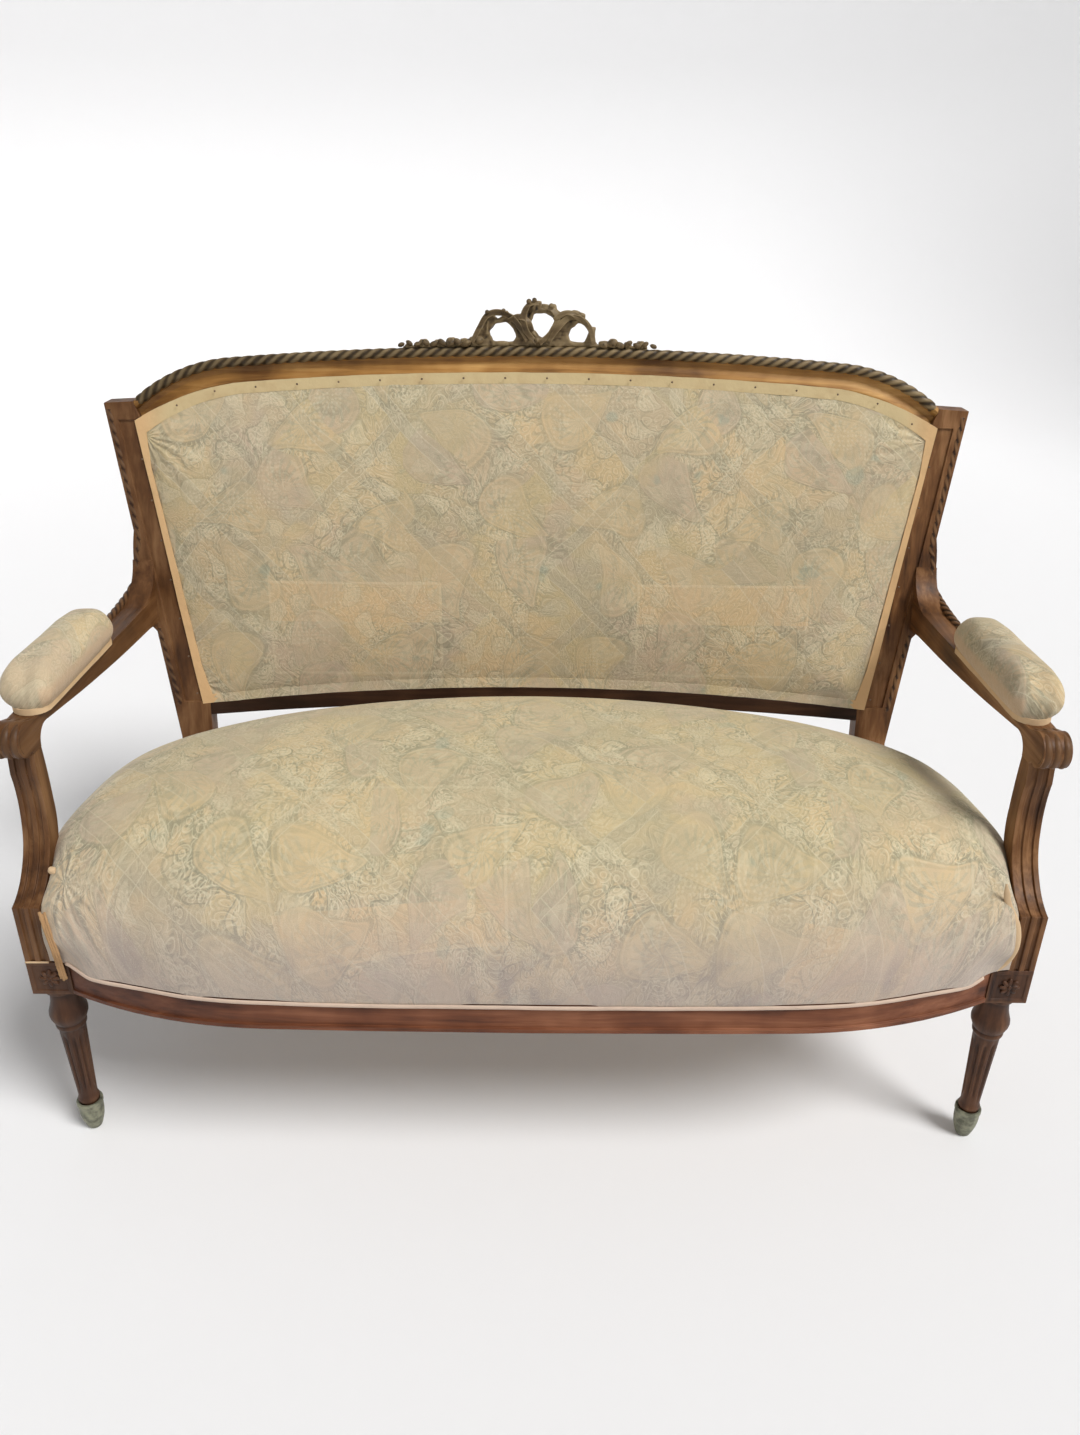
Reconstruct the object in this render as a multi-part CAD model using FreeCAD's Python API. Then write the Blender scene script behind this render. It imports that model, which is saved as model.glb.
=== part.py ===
# Settee with a carved show-wood frame, a sprung and stuffed seat, a padded back panel and padded arms.
# Millimetres, +Z up, +X to the sitter's left as seen from the front, the front faces -Y.
# Until the last lines, Y is measured from the centre line of the front legs and Z from the floor.
import FreeCAD
import Part
import math
import os

Vec = FreeCAD.Vector

# Front legs and the square die block on each of them
leg_spacing = 1230.0
half_leg = leg_spacing / 2
die_size = 54.0
die_bottom = 258.0
die_top = 310.0
rosette_field = 36.0
rosette_radius = 13.0
rosette_sink = 2.0
neck_radius = 18.0
collar_radius = 24.5
collar_height = 208.0
shaft_top_radius = 17.6
shaft_top = 188.0
shaft_bottom_radius = 12.6
shaft_bottom = 62.0
flute_count = 8
flute_share = 0.72
flute_sink = 0.17
ankle_radius = 13.6
spigot_radius = 9.0
spigot_depth = 34.0

# Brass cup foot under each front leg
cup_height = 50.0
cup_radius = 16.5
cup_tip_radius = 9.5
cup_rim_radius = 17.6

# Seat rails
rail_bottom = 260.0
rail_top = 328.0
rail_thick = 28.0
bow_front = -90.5
bow_mid_half = half_leg - 285.0
bow_mid_radius = 15500.0
bow_end_radius = 625.0
bead_height = 7.0
bead_proud = 3.0
rear_rail_thick = 25.0

# Joints of the frame
tenon_length = 18.0
tenon_thick = 12.0
tenon_height = 34.0
joint_gap = 0.2
block_leg = 62.0
block_height = 38.0

# Back posts, and the leaning plane of the back's front face
back_lean = 9.5
back_plane_y = 460.0
back_plane_z = 380.0
back_thick = 32.0
post_outer_seat = half_leg - 39.0
post_inner_seat = half_leg - 90.0
post_toe_y = back_plane_y + 52.0
post_toe_thick = 27.0
post_toe_outer = post_outer_seat - 3.0
post_toe_inner = post_outer_seat - 33.0
ear_out = 34.0
ear_half_width = half_leg + ear_out
ear_rise = 525.0
arm_boss_x = half_leg + 12.0

# Top rail: two radii of its outer edge, its moulded section and the joint to the posts
crown_radius = 5386.0
shoulder_radius = 264.0
shoulder_x = half_leg - 180.0
crown_drop = shoulder_x**2 / (2 * crown_radius)
crown_rise = ear_rise + 68.4 + crown_drop
top_joint = ((half_leg - 10.0, ear_rise + 3.0), (half_leg - 28.0, ear_rise - 43.0))
ribbon_width = 14.0
ribbon_depth = 9.0
cove_width = 19.0
cove_depth = 4.0
fillet_width = 4.0
fillet_sink = 3.0
rebate_width = 18.0
rebate_sink = 8.0
band_sink = 3.0

# Upholstered back panel, in the leaning plane: distance from the middle, and up the slope
panel_bottom_x = half_leg - 78.0
panel_bottom_rise = 56.0
panel_bottom_mid = panel_bottom_rise + 33.0
panel_corner = (half_leg - 10.0, ear_rise - 25.0)
panel_shoulder_mid = (half_leg - 73.0, ear_rise + 6.0)
panel_shoulder_end = (half_leg - 163.0, ear_rise + 31.0)
panel_top_mid = crown_rise - 36.0
lower_rail_edge_mid = panel_bottom_rise + 6.0
lower_rail_edge_end = panel_bottom_rise - 18.0

# Arms and their supports
arm_width = 34.0
arm_inner_front = half_leg - 7.0
arm_outer_front = arm_inner_front + arm_width
arm_inner_back = arm_inner_front - 12.0
arm_outer_mid = arm_outer_front - 1.0
arm_top = 611.0
arm_under_front = arm_top - 15.0
arm_under_back = arm_top - 43.0
arm_flare_top = arm_top + 55.0
scroll_y = 34.0
scroll_z = arm_top - 14.0
scroll_radius = 22.0
support_top = arm_top - 39.0
support_knee = 84.0
support_head_front = 44.0
support_head_back = 66.0
waist_z = arm_top + 37.0
groove_width = 6.0
groove_depth = 2.6
groove_count = 2

# Padding
cover_thick = 2.4
shown_chords = 4
hidden_chords = 2
soft_gap = 0.3
cover_hem = 303.0
cover_lap = 3.0
seat_back_y = back_plane_y + 12.0
seat_middle_y = 190.0
# Each level of the seat's crown: its height over the hem, how far it is drawn in at the front, the sides
# and the back, and how square its front and back corners are (2 is an ellipse)
seat_levels = [
    (0.0, 0.0, 0.0, 0.0, 60.0, 60.0),
    (22.0, -3.0, -3.0, 1.0, 60.0, 40.0),
    (45.0, -3.0, -5.0, 6.0, 40.0, 21.0),
    (73.0, 2.0, -4.0, 15.0, 25.0, 9.5),
    (100.0, 13.0, 1.5, 26.0, 18.0, 4.7),
    (127.0, 28.0, 8.0, 40.0, 13.0, 2.6),
    (152.0, 48.0, 24.0, 56.0, 10.0, 2.2),
    (175.0, 74.0, 57.0, 75.0, 8.0, 2.1),
    (196.0, 109.0, 119.0, 98.0, 6.0, 2.0),
    (211.0, 148.0, 207.0, 124.0, 4.4, 2.0),
    (221.0, 191.0, 322.0, 155.0, 3.3, 2.0),
    (226.0, 231.0, 441.0, 190.0, 2.8, 2.0),
]
# Directions from the middle of the seat at which a quarter of a level gets its corners, in degrees:
# for the shown cover, and for what lies under it
seat_angles = (90.0, 78.0, 67.0, 58.0, 51.0, 45.0, 38.0, 26.0, 13.0, 0.0)
hidden_angles = (90.0, 67.0, 51.0, 45.0, 38.0, 26.0, 13.0, 0.0)
edge_band_height = 7.0
edge_band_thick = 1.6
webbing_width = 50.0
webbing_thick = 1.6
long_webs = 5
long_web_first = 62.0
long_web_pitch = (back_plane_y - 110.0 - long_web_first) / (long_webs - 1)
cross_webs = 9
cross_web_pitch = (leg_spacing - 310.0) / (cross_webs - 1)
spring_columns = 4
spring_end_radius = 40.0
spring_waist_radius = 28.0
spring_turns = 3
spring_wire = 3.2
spring_sides = 6
hessian_thick = 1.5
tent_top = 405.0
tent_share = 0.8
back_web_share = 0.39
back_web_rows = (0.3, 0.595, 0.887)
back_cloth_thick = 1.0
back_levels = [
    (19.0, 0.0),
    (25.0, 4.5),
    (42.0, 8.5),
    (78.0, 13.0),
    (140.0, 16.5),
]
tape_width = 16.0
tape_thick = 1.4
pad_start = 72.0
pad_end = back_plane_y - 145.0
pad_height = 62.0
pad_overhang = 13.0
pad_foot = 3.0
pad_band_height = 8.0

half_die = die_size / 2
die_inner = half_leg - half_die
die_outer = half_leg + half_die
lean = math.radians(back_lean)
lean_place = FreeCAD.Placement(
    Vec(0, back_plane_y, back_plane_z),
    FreeCAD.Rotation(Vec(1, 0, 0), 90 - back_lean),
)
parts = {}


def at_height(z):
    return lambda x, y: Vec(x, y, z)


def at_side(x):
    return lambda y, z: Vec(x, y, z)


def at_front(y):
    return lambda x, z: Vec(x, y, z)


# A closed wire: each step is a point to go to, or a pair for an arc (through, to).
# With chords, each arc becomes as many equal straight lines.
def outline(place, start, steps, chords=0):
    edges = []
    here = start
    for step in steps:
        if isinstance(step[0], tuple):
            through, end = step
            arc = Part.Arc(place(*here), place(*through), place(*end)).toShape()
            if chords:
                spots = arc.discretize(chords + 1)
                edges += [Part.makeLine(a, b) for a, b in zip(spots, spots[1:])]
            else:
                edges.append(arc)
        else:
            end = step
            edges.append(Part.makeLine(place(*here), place(*end)))
        here = end
    if math.dist(here, start) > 1e-6:
        edges.append(Part.makeLine(place(*here), place(*start)))
    return Part.Wire(edges)


def prism(wire, along):
    return Part.Face(wire).extrude(along)


def box(x_range, y_range, z_range):
    (x0, x1), (y0, y1), (z0, z1) = x_range, y_range, z_range
    return Part.makeBox(x1 - x0, y1 - y0, z1 - z0, Vec(x0, y0, z0))


# A loft through rings of straight lines, each with as many corners, in flat three-cornered faces
def straight_loft(wires):
    rings = [[vertex.Point for vertex in wire.OrderedVertexes] for wire in wires]
    count = len(rings[0])
    faces = [Part.Face(Part.makePolygon(ring + [ring[0]])) for ring in (rings[0], rings[-1])]
    for low, high in zip(rings, rings[1:]):
        for here in range(count):
            after = (here + 1) % count
            for corners in ((low[here], low[after], high[after]), (low[here], high[after], high[here])):
                faces.append(Part.Face(Part.makePolygon(list(corners) + [corners[0]])))
    solid = Part.Solid(Part.Shell(faces))
    if solid.Volume < 0:
        solid.reverse()
    return solid


def rod(radius, length, start, along):
    return Part.makeCylinder(radius, length, start, along)


def turned(profile, centre):
    wire = outline(lambda r, z: Vec(centre.x + r, centre.y, centre.z + z), profile[0], profile[1:])
    return Part.Face(wire).revolve(centre, Vec(0, 0, 1), 360)


def mirrored(shape):
    return shape.mirror(Vec(0, 0, 0), Vec(1, 0, 0))


def both_sides(name, shape):
    parts[name + "_right"] = shape
    parts[name + "_left"] = mirrored(shape)


def leaned(shape):
    moved = shape.copy()
    moved.Placement = lean_place.multiply(moved.Placement)
    return moved


def grown_box(x_range, y_range, z_range, by):
    return box(
        (x_range[0] - by, x_range[1] + by),
        (y_range[0] - by, y_range[1] + by),
        (z_range[0] - by, z_range[1] + by),
    )


# The bowed front of the seat: three arcs that run into each other
bow_turn = math.asin(bow_mid_half / bow_mid_radius)


def bow_y(x, proud=0.0):
    mid_radius = bow_mid_radius + proud
    if abs(x) <= mid_radius * math.sin(bow_turn):
        return bow_front + bow_mid_radius - math.sqrt(mid_radius**2 - x**2)
    end_radius = bow_end_radius + proud
    centre_x = bow_mid_half - bow_end_radius * math.sin(bow_turn)
    centre_y = bow_front + bow_mid_radius - (bow_mid_radius - bow_end_radius) * math.cos(bow_turn)
    return centre_y - math.sqrt(end_radius**2 - (abs(x) - centre_x) ** 2)


def bow_points(half, proud):
    knuckle = (bow_mid_radius + proud) * math.sin(bow_turn)
    middle = (half + knuckle) / 2
    return [(x, bow_y(x, proud)) for x in (-half, -middle, -knuckle, 0.0, knuckle, middle, half)]


def bow_steps(points):
    return [(points[1], points[2]), (points[3], points[4]), (points[5], points[6])]


# Outer face of a side rail, as a line in plan from the die to the back post
side_front = (die_outer - 4.0, half_die)
post_front_y = back_plane_y - (back_plane_z - rail_top) * math.tan(lean)
side_back = (post_outer_seat - 1.4, post_front_y)
side_slope = (side_back[0] - side_front[0]) / (side_back[1] - side_front[1])


def side_x(y):
    return side_front[0] + (y - side_front[1]) * side_slope


# Tenons and their mortises, as plain ranges: the mortise is the tenon grown by the joint gap
tenon_z = ((rail_bottom + die_top) / 2 - tenon_height / 2, (rail_bottom + die_top) / 2 + tenon_height / 2)
front_tenon_y = bow_y(die_inner) + rail_thick / 2
front_tenon = (
    (die_inner, die_inner + tenon_length),
    (front_tenon_y - tenon_thick / 2, front_tenon_y + tenon_thick / 2),
    tenon_z,
)
side_tenon_x = side_front[0] - rail_thick / 2
side_tenon = (
    (side_tenon_x - tenon_thick / 2, side_tenon_x + tenon_thick / 2),
    (half_die - tenon_length, half_die),
    tenon_z,
)
post_tenon_x = side_back[0] - rail_thick / 2
post_tenon = (
    (post_tenon_x - tenon_thick / 2, post_tenon_x + tenon_thick / 2),
    (post_front_y, post_front_y + tenon_length),
    tenon_z,
)
rear_tenon_y = post_front_y + rear_rail_thick / 2
rear_tenon = (
    (post_inner_seat, post_inner_seat + tenon_length),
    (rear_tenon_y - tenon_thick / 2, rear_tenon_y + tenon_thick / 2),
    tenon_z,
)
arm_middle_x = (arm_inner_front + arm_outer_front) / 2
support_foot_tenon = (
    (arm_middle_x - 8.0, arm_middle_x + 8.0),
    (-half_die + 9.0, -half_die + 9.0 + tenon_length),
    (die_top - tenon_length, die_top),
)
support_head_tenon = (
    (arm_middle_x - 7.0, arm_middle_x + 7.0),
    (48.0, 60.0),
    (support_top, support_top + tenon_length),
)


# A ring of hollow flutes and narrow lands: each hollow is three straight lines
def fluted_ring(radius, height, centre):
    corners = []
    step = 2 * math.pi / flute_count
    flute = step * flute_share
    floor = radius * (1 - flute_sink)
    for number in range(flute_count):
        start = number * step
        for share, reach in ((0.0, radius), (0.28, floor), (0.72, floor), (1.0, radius)):
            angle = start + flute * share
            spoke = Vec(reach * math.cos(angle), reach * math.sin(angle), height)
            corners.append(Vec(centre.x, centre.y, 0) + spoke)
    return Part.makePolygon(corners + [corners[0]])


# Eight petals of the carved rosette, as a plain eight-sided outline
def rosette(place, across, up):
    corners = []
    for number in range(8):
        angle = math.pi / 4 * (number + 0.5)
        corners.append((across + rosette_radius * math.cos(angle), up + rosette_radius * math.sin(angle)))
    return outline(place, corners[0], corners[1:])


def front_leg():
    centre = Vec(half_leg, 0, 0)
    die = box((die_inner, die_outer), (-half_die, half_die), (die_bottom, die_top))
    rosette_z = (die_bottom + die_top) / 2
    field = rosette_field / 2
    front_field = box(
        (half_leg - field, half_leg + field),
        (-half_die, -half_die + rosette_sink),
        (rosette_z - field, rosette_z + field),
    )
    outer_field = box(
        (die_outer - rosette_sink, die_outer),
        (-field, field),
        (rosette_z - field, rosette_z + field),
    )
    front_boss = prism(rosette(at_front(-half_die), half_leg, rosette_z), Vec(0, rosette_sink, 0))
    outer_boss = prism(rosette(at_side(die_outer), 0.0, rosette_z), Vec(-rosette_sink, 0, 0))
    die = die.cut([front_field, outer_field]).fuse([front_boss, outer_boss])
    neck_z = die_bottom - 8
    head = turned(
        [
            (0.0, shaft_top),
            (shaft_top_radius, shaft_top),
            (shaft_top_radius, shaft_top + 6),
            (collar_radius, collar_height - 5),
            (collar_radius, collar_height + 4),
            (neck_radius, collar_height + 24),
            (neck_radius, neck_z),
            (neck_radius + 4, neck_z),
            (neck_radius + 4, die_bottom + 1),
            (0.0, die_bottom + 1),
        ],
        centre,
    )
    shaft = straight_loft([
        fluted_ring(shaft_bottom_radius, shaft_bottom, centre),
        fluted_ring(shaft_top_radius, shaft_top, centre),
    ])
    ankle = turned(
        [
            (0.0, cup_height),
            (ankle_radius, cup_height),
            (ankle_radius, shaft_bottom + 1),
            (0.0, shaft_bottom + 1),
        ],
        centre,
    )
    spigot = rod(spigot_radius, spigot_depth + 1, Vec(half_leg, 0, cup_height - spigot_depth), Vec(0, 0, 1))
    leg = die.fuse([head, shaft, ankle, spigot]).removeSplitter()
    mortises = [grown_box(*ranges, joint_gap) for ranges in (front_tenon, side_tenon, support_foot_tenon)]
    both_sides("front_leg", leg.cut(mortises))


def foot_cup():
    centre = Vec(half_leg, 0, 0)
    socket = spigot_radius + joint_gap
    floor = cup_height - spigot_depth
    cup = turned(
        [
            (0.0, 0.0),
            (cup_tip_radius, 0.0),
            (cup_tip_radius + 2.5, 6.0),
            (cup_radius, 24.0),
            (cup_radius, 42.0),
            (cup_rim_radius, 42.0),
            (cup_rim_radius, cup_height),
            (socket, cup_height),
            (socket, floor),
            (0.0, floor),
        ],
        centre,
    )
    parts["foot_cups"] = Part.Compound([cup, mirrored(cup)])


def front_rail():
    outer = bow_points(die_inner, 0.0)
    inner = bow_points(die_inner, -rail_thick)
    back_steps = [
        (inner[6][0], inner[6][1]),
        (inner[5], inner[4]),
        (inner[3], inner[2]),
        (inner[1], inner[0]),
    ]
    wire = outline(at_height(rail_bottom), outer[0], bow_steps(outer) + back_steps)
    rail = prism(wire, Vec(0, 0, rail_top - rail_bottom))
    proud = bow_points(die_inner, bead_proud)
    inside = bow_points(die_inner, -4.0)
    bead_steps = [
        (inside[6][0], inside[6][1]),
        (inside[5], inside[4]),
        (inside[3], inside[2]),
        (inside[1], inside[0]),
    ]
    bead_wire = outline(at_height(rail_bottom), proud[0], bow_steps(proud) + bead_steps)
    bead = prism(bead_wire, Vec(0, 0, bead_height))
    tenon = box(*front_tenon)
    parts["front_rail"] = rail.fuse([bead, tenon, mirrored(tenon)]).removeSplitter()


def side_rail():
    inner = rail_thick * math.sqrt(1 + side_slope**2)
    wire = outline(
        at_height(rail_bottom),
        side_front,
        [side_back, (side_back[0] - inner, side_back[1]), (side_front[0] - inner, side_front[1])],
    )
    rail = prism(wire, Vec(0, 0, rail_top - rail_bottom))
    rail = rail.fuse([box(*side_tenon), box(*post_tenon)])
    both_sides("side_rail", rail)


def rear_rail():
    rail = box(
        (-post_inner_seat, post_inner_seat),
        (post_front_y, post_front_y + rear_rail_thick),
        (rail_bottom, rail_top),
    )
    tenon = box(*rear_tenon)
    parts["rear_rail"] = rail.fuse([tenon, mirrored(tenon)])


def rise_z(rise):
    return back_plane_z + rise * math.cos(lean)


def rise_y(rise):
    return back_plane_y + rise * math.sin(lean)


# Face line of the top rail's joint, stretched both ways, as the inner side to keep
def top_joint_inside(depth):
    (ax, ar), (bx, br) = top_joint
    length = math.dist(*top_joint)
    ux, ur = (ax - bx) / length, (ar - br) / length
    far = (ax + crown_rise * ux, ar + crown_rise * ur)
    near = (bx - rebate_width * 3 * ux, br - rebate_width * 3 * ur)
    wire = outline(
        at_height(-depth),
        far,
        [near, (-near[0], near[1]), (-far[0], far[1])],
    )
    return prism(wire, Vec(0, 0, 2 * depth))


# Tenon on the end of the top rail, square to the joint and let into the post
def top_joint_tenon(grow):
    (ax, ar), (bx, br) = top_joint
    reach = math.dist(*top_joint)
    along = Vec((ax - bx) / reach, (ar - br) / reach, 0)
    outward = Vec(along.y, -along.x, 0)
    start = Vec(bx, br, 0) + along * (reach * 0.25 - grow) - outward * 2
    width = along * (reach * 0.5 + 2 * grow)
    length = outward * (2 + tenon_length + grow)
    low = -back_thick * 0.62 - tenon_thick / 2 - grow
    corners = [start, start + width, start + width + length, start + length, start]
    wire = Part.makePolygon([Vec(point.x, point.y, low) for point in corners])
    return prism(wire, Vec(0, 0, tenon_thick + 2 * grow))


lower_rail_tenon = (
    (post_inner_seat, post_inner_seat + tenon_length),
    (lower_rail_edge_end + 4.0, lower_rail_edge_end + 30.0),
    (-back_thick + 8.0, -back_thick + 8.0 + tenon_thick),
)
waist_rise = (waist_z - back_plane_z) / math.cos(lean)
arm_tenon = (
    (arm_inner_back + 6.0, arm_inner_back + 20.0),
    (waist_rise - 66.0, waist_rise - 22.0),
    (-tenon_length, 0.0),
)


def panel_points(inset):
    corner_x, corner_rise = panel_corner
    middle_x, middle_rise = panel_shoulder_mid
    end_x, end_rise = panel_shoulder_end
    return {
        "bottom": (panel_bottom_x - inset, panel_bottom_rise + inset),
        "bottom_mid": (0.0, panel_bottom_mid + inset),
        "corner": (corner_x - inset, corner_rise - 1.1 * inset),
        "shoulder": (middle_x - 0.6 * inset, middle_rise - inset),
        "end": (end_x - 0.3 * inset, end_rise - inset),
        "top_mid": (0.0, panel_top_mid - inset),
    }


def panel_outline(inset, height, chords=0):
    p = panel_points(inset)

    def left(name):
        return (-p[name][0], p[name][1])

    return outline(
        at_height(height),
        left("bottom"),
        [
            (p["bottom_mid"], p["bottom"]),
            p["corner"],
            (p["shoulder"], p["end"]),
            (p["top_mid"], left("end")),
            (left("shoulder"), left("corner")),
            left("bottom"),
        ],
        chords,
    )


def panel_block(inset, low, high):
    return prism(panel_outline(inset, low), Vec(0, 0, high - low))


def back_post():
    head_rise = ear_rise + 20.0
    post_reach = 200.0
    head_back_y = rise_y(head_rise) + back_thick * math.cos(lean)
    head_back_z = rise_z(head_rise) - back_thick * math.sin(lean)
    back_y = post_front_y + back_thick / math.cos(lean)
    knee_y = post_front_y + 20.0
    knee_z = rail_bottom * 0.45
    side = outline(
        at_side(post_inner_seat - back_thick),
        (post_toe_y, 0.0),
        [
            ((knee_y, knee_z), (post_front_y, rail_bottom)),
            (post_front_y, rail_top),
            (rise_y(head_rise), rise_z(head_rise)),
            (head_back_y, head_back_z),
            (back_y, rail_top),
            (back_y, rail_bottom),
            ((knee_y + back_thick * 0.97, knee_z), (post_toe_y + post_toe_thick, 0.0)),
        ],
    )
    side_solid = prism(side, Vec(post_reach, 0, 0))
    (ax, ar), (bx, br) = top_joint
    front = outline(
        at_front(back_plane_y - post_reach / 3),
        (post_toe_inner, 0.0),
        [
            (post_inner_seat, rail_bottom),
            (post_inner_seat, rise_z(panel_bottom_rise + 19.0)),
            (bx - 8.0, rise_z(br)),
            (ax - 8.0, rise_z(ar)),
            (ear_half_width, rise_z(ear_rise)),
            (arm_boss_x - 4.5, waist_z + 62.0),
            ((arm_boss_x - 0.6, waist_z + 32.5), (arm_boss_x, waist_z)),
            ((arm_boss_x - 3.0, waist_z - 56.0), (arm_boss_x - 26.5, waist_z - 94.7)),
            (post_outer_seat, rise_z(0.0)),
            (post_outer_seat, rail_bottom),
            (post_toe_outer, 0.0),
        ],
    )
    post = side_solid.common(prism(front, Vec(0, 1.5 * post_reach, 0)))
    lean_cut = [panel_block(0.0, -rebate_sink, back_thick), top_joint_inside(2 * back_thick)]
    field = outline(
        at_height(-band_sink),
        (post_outer_seat - 10.0, panel_bottom_rise + 4.0),
        [
            (ear_half_width - 20.0, panel_corner[1]),
            (panel_corner[0] - 1.0, panel_corner[1]),
            (panel_bottom_x - 1.0, panel_bottom_rise + 4.0),
        ],
    )
    lean_cut.append(prism(field, Vec(0, 0, back_thick)))
    lean_cut.append(top_joint_tenon(joint_gap))
    lean_cut.append(grown_box(*lower_rail_tenon, joint_gap))
    lean_cut.append(grown_box(*arm_tenon, joint_gap))
    cuts = [leaned(shape) for shape in lean_cut]
    cuts += [grown_box(*ranges, joint_gap) for ranges in (post_tenon, rear_tenon)]
    both_sides("back_post", post.cut(cuts))


# Moulded section of the top rail: ribbon bead, cove, fillet, then the rebate for the upholstery
def top_rail_section():
    cove_start = ribbon_width + 1.0
    cove_end = cove_start + cove_width
    fillet_end = cove_end + fillet_width
    lip_end = fillet_end + rebate_width
    return (
        (0.0, -back_thick),
        [
            (0.0, -ribbon_depth),
            (ribbon_width * 0.2, -ribbon_depth * 0.3),
            (ribbon_width * 0.5, 0.0),
            (ribbon_width * 0.8, -ribbon_depth * 0.3),
            (ribbon_width, -ribbon_depth + 1.0),
            (cove_start, -ribbon_depth + 1.0),
            (cove_start + cove_width * 0.35, -ribbon_depth - cove_depth * 0.3),
            (cove_start + cove_width * 0.75, -ribbon_depth + cove_depth * 0.4),
            (cove_end, -fillet_sink),
            (fillet_end, -fillet_sink),
            (fillet_end, -rebate_sink),
            (lip_end, -rebate_sink),
            (lip_end, -back_thick),
        ],
    )


# The top rail's section swung about the centre of one of its arcs, both in the leaning plane
def swung(centre_x, centre_rise, radius, start_angle, sweep):
    start, steps = top_rail_section()
    wire = outline(lambda inward, depth: Vec(centre_x, centre_rise + radius - inward, depth), start, steps)
    face = Part.Face(wire)
    axis = Vec(0, 0, 1)
    face.rotate(Vec(centre_x, centre_rise, 0), axis, -math.degrees(start_angle))
    return face.revolve(Vec(centre_x, centre_rise, 0), axis, -math.degrees(sweep))


def top_rail():
    crown_centre = crown_rise - crown_radius
    turn = math.asin(shoulder_x / (crown_radius - shoulder_radius))
    shoulder_rise = crown_centre + (crown_radius - shoulder_radius) * math.cos(turn)
    middle = swung(0.0, crown_centre, crown_radius, -turn, 2 * turn)
    shoulder = swung(shoulder_x, shoulder_rise, shoulder_radius, turn, math.radians(50.0) - turn)
    rail = middle.fuse([shoulder, mirrored(shoulder)]).removeSplitter()
    rail = rail.common(top_joint_inside(2 * back_thick))
    rail = rail.cut(panel_block(0.0, -rebate_sink, back_thick))
    tenon = top_joint_tenon(0.0)
    parts["top_rail"] = leaned(rail.fuse([tenon, mirrored(tenon)]))


def lower_back_rail():
    half = post_inner_seat
    lip_end = panel_bottom_rise + rebate_width + 1.0
    edge = outline(
        at_height(-back_thick),
        (-half, lower_rail_edge_end),
        [
            ((0.0, lower_rail_edge_mid), (half, lower_rail_edge_end)),
            (half, lip_end),
            ((0.0, panel_bottom_mid + rebate_width), (-half, lip_end)),
        ],
    )
    rail = prism(edge, Vec(0, 0, back_thick))
    rail = rail.cut(panel_block(0.0, -rebate_sink, back_thick))
    tenon = box(*lower_rail_tenon)
    parts["lower_back_rail"] = leaned(rail.fuse([tenon, mirrored(tenon)]))


def crown_edge(x):
    return crown_rise - crown_radius + math.sqrt(crown_radius**2 - x**2)


# Pierced ribbon bow with three open loops over a low garland of leaves and buds: every point is given by
# its distance from the middle and its height over the crown of the top rail
crest_chords = 2
crest_back = 20.0
crest_front = 5.0
garland_height = 5.0
garland_left = -199.0
garland_right = 164.0
bow_outline = [
    (-86.0, 22.0), (-80.0, 26.0), (-75.0, 42.5), ((-69.0, 48.0), (-60.0, 40.5)), (-56.0, 37.5),
    (-44.5, 50.5), (-38.5, 44.0), (-15.0, 47.5), (-13.0, 61.5), (-8.0, 64.0), (7.0, 64.0), (7.0, 53.5),
    (19.5, 53.0), (21.0, 60.0), (27.0, 60.0), (29.5, 51.5), (37.5, 47.5), ((55.0, 52.0), (71.5, 46.0)),
    (71.0, 34.0), (76.0, 29.0), (87.0, 28.0), (85.0, 11.0), (92.0, 1.0),
]
bow_holes = [
    [(-61.0, 32.5), (-44.5, 35.0), ((-36.0, 27.0), (-30.0, 13.5)), ((-34.0, 8.0), (-41.5, 7.0)),
     (-65.5, 8.0), ((-70.5, 20.0), (-61.0, 32.5))],
    [(-4.0, 46.5), ((12.0, 47.5), (26.0, 40.0)), ((27.0, 33.0), (24.5, 26.5)), (11.0, 13.5),
     (6.0, 13.0), (-1.0, 21.0), (-8.5, 25.5), ((-8.5, 36.0), (-4.0, 46.5))],
    [(61.0, 34.5), ((71.5, 30.5), (77.0, 21.0)), (70.5, 7.0), (49.0, 8.0),
     ((46.0, 16.0), (50.5, 25.0)), (61.0, 34.5)],
]
# Ribbon folds that stand forward: two ends of each fold's centre line, its width and height
ribbon_folds = [
    ((-72.0, 41.0), (-74.0, 13.0), 8.0, 3.0),
    ((-57.0, 35.0), (-35.0, 46.0), 9.0, 2.0),
    ((-30.0, 35.0), (-14.0, 41.0), 11.0, 4.0),
    ((-4.0, 61.0), (-11.0, 29.0), 8.0, 3.0),
    ((-8.0, 21.0), (6.0, 5.0), 9.0, 4.0),
    ((30.0, 44.0), (28.0, 25.0), 9.0, 3.0),
    ((26.0, 21.0), (11.0, 5.0), 9.0, 4.0),
    ((42.0, 40.0), (66.0, 41.0), 9.0, 4.0),
    ((82.0, 25.0), (80.0, 5.0), 7.0, 2.0),
]
# Buds and leaves of the garland: distance along the rail, radius and height over the rail's edge
garland_buds = [(-190.0, 6.0), (-168.0, 9.0), (-147.0, 8.0), (-127.0, 10.0), (-108.0, 9.0), (-93.0, 11.0),
                (100.0, 8.0), (113.0, 10.0), (134.0, 7.0), (154.0, 9.0)]


def over_crown(depth):
    return lambda x, above: Vec(x, crown_rise + above, depth)


def closed_shape(points, low, high):
    return prism(outline(over_crown(low), points[0], points[1:], crest_chords), Vec(0, 0, high - low))


def six_sided(centre, radius, height):
    corners = []
    for number in range(6):
        angle = math.pi / 3 * number
        corners.append(Vec(centre.x + radius * math.cos(angle), centre.y + radius * math.sin(angle), height))
    return Part.makePolygon(corners + [corners[0]])


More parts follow.
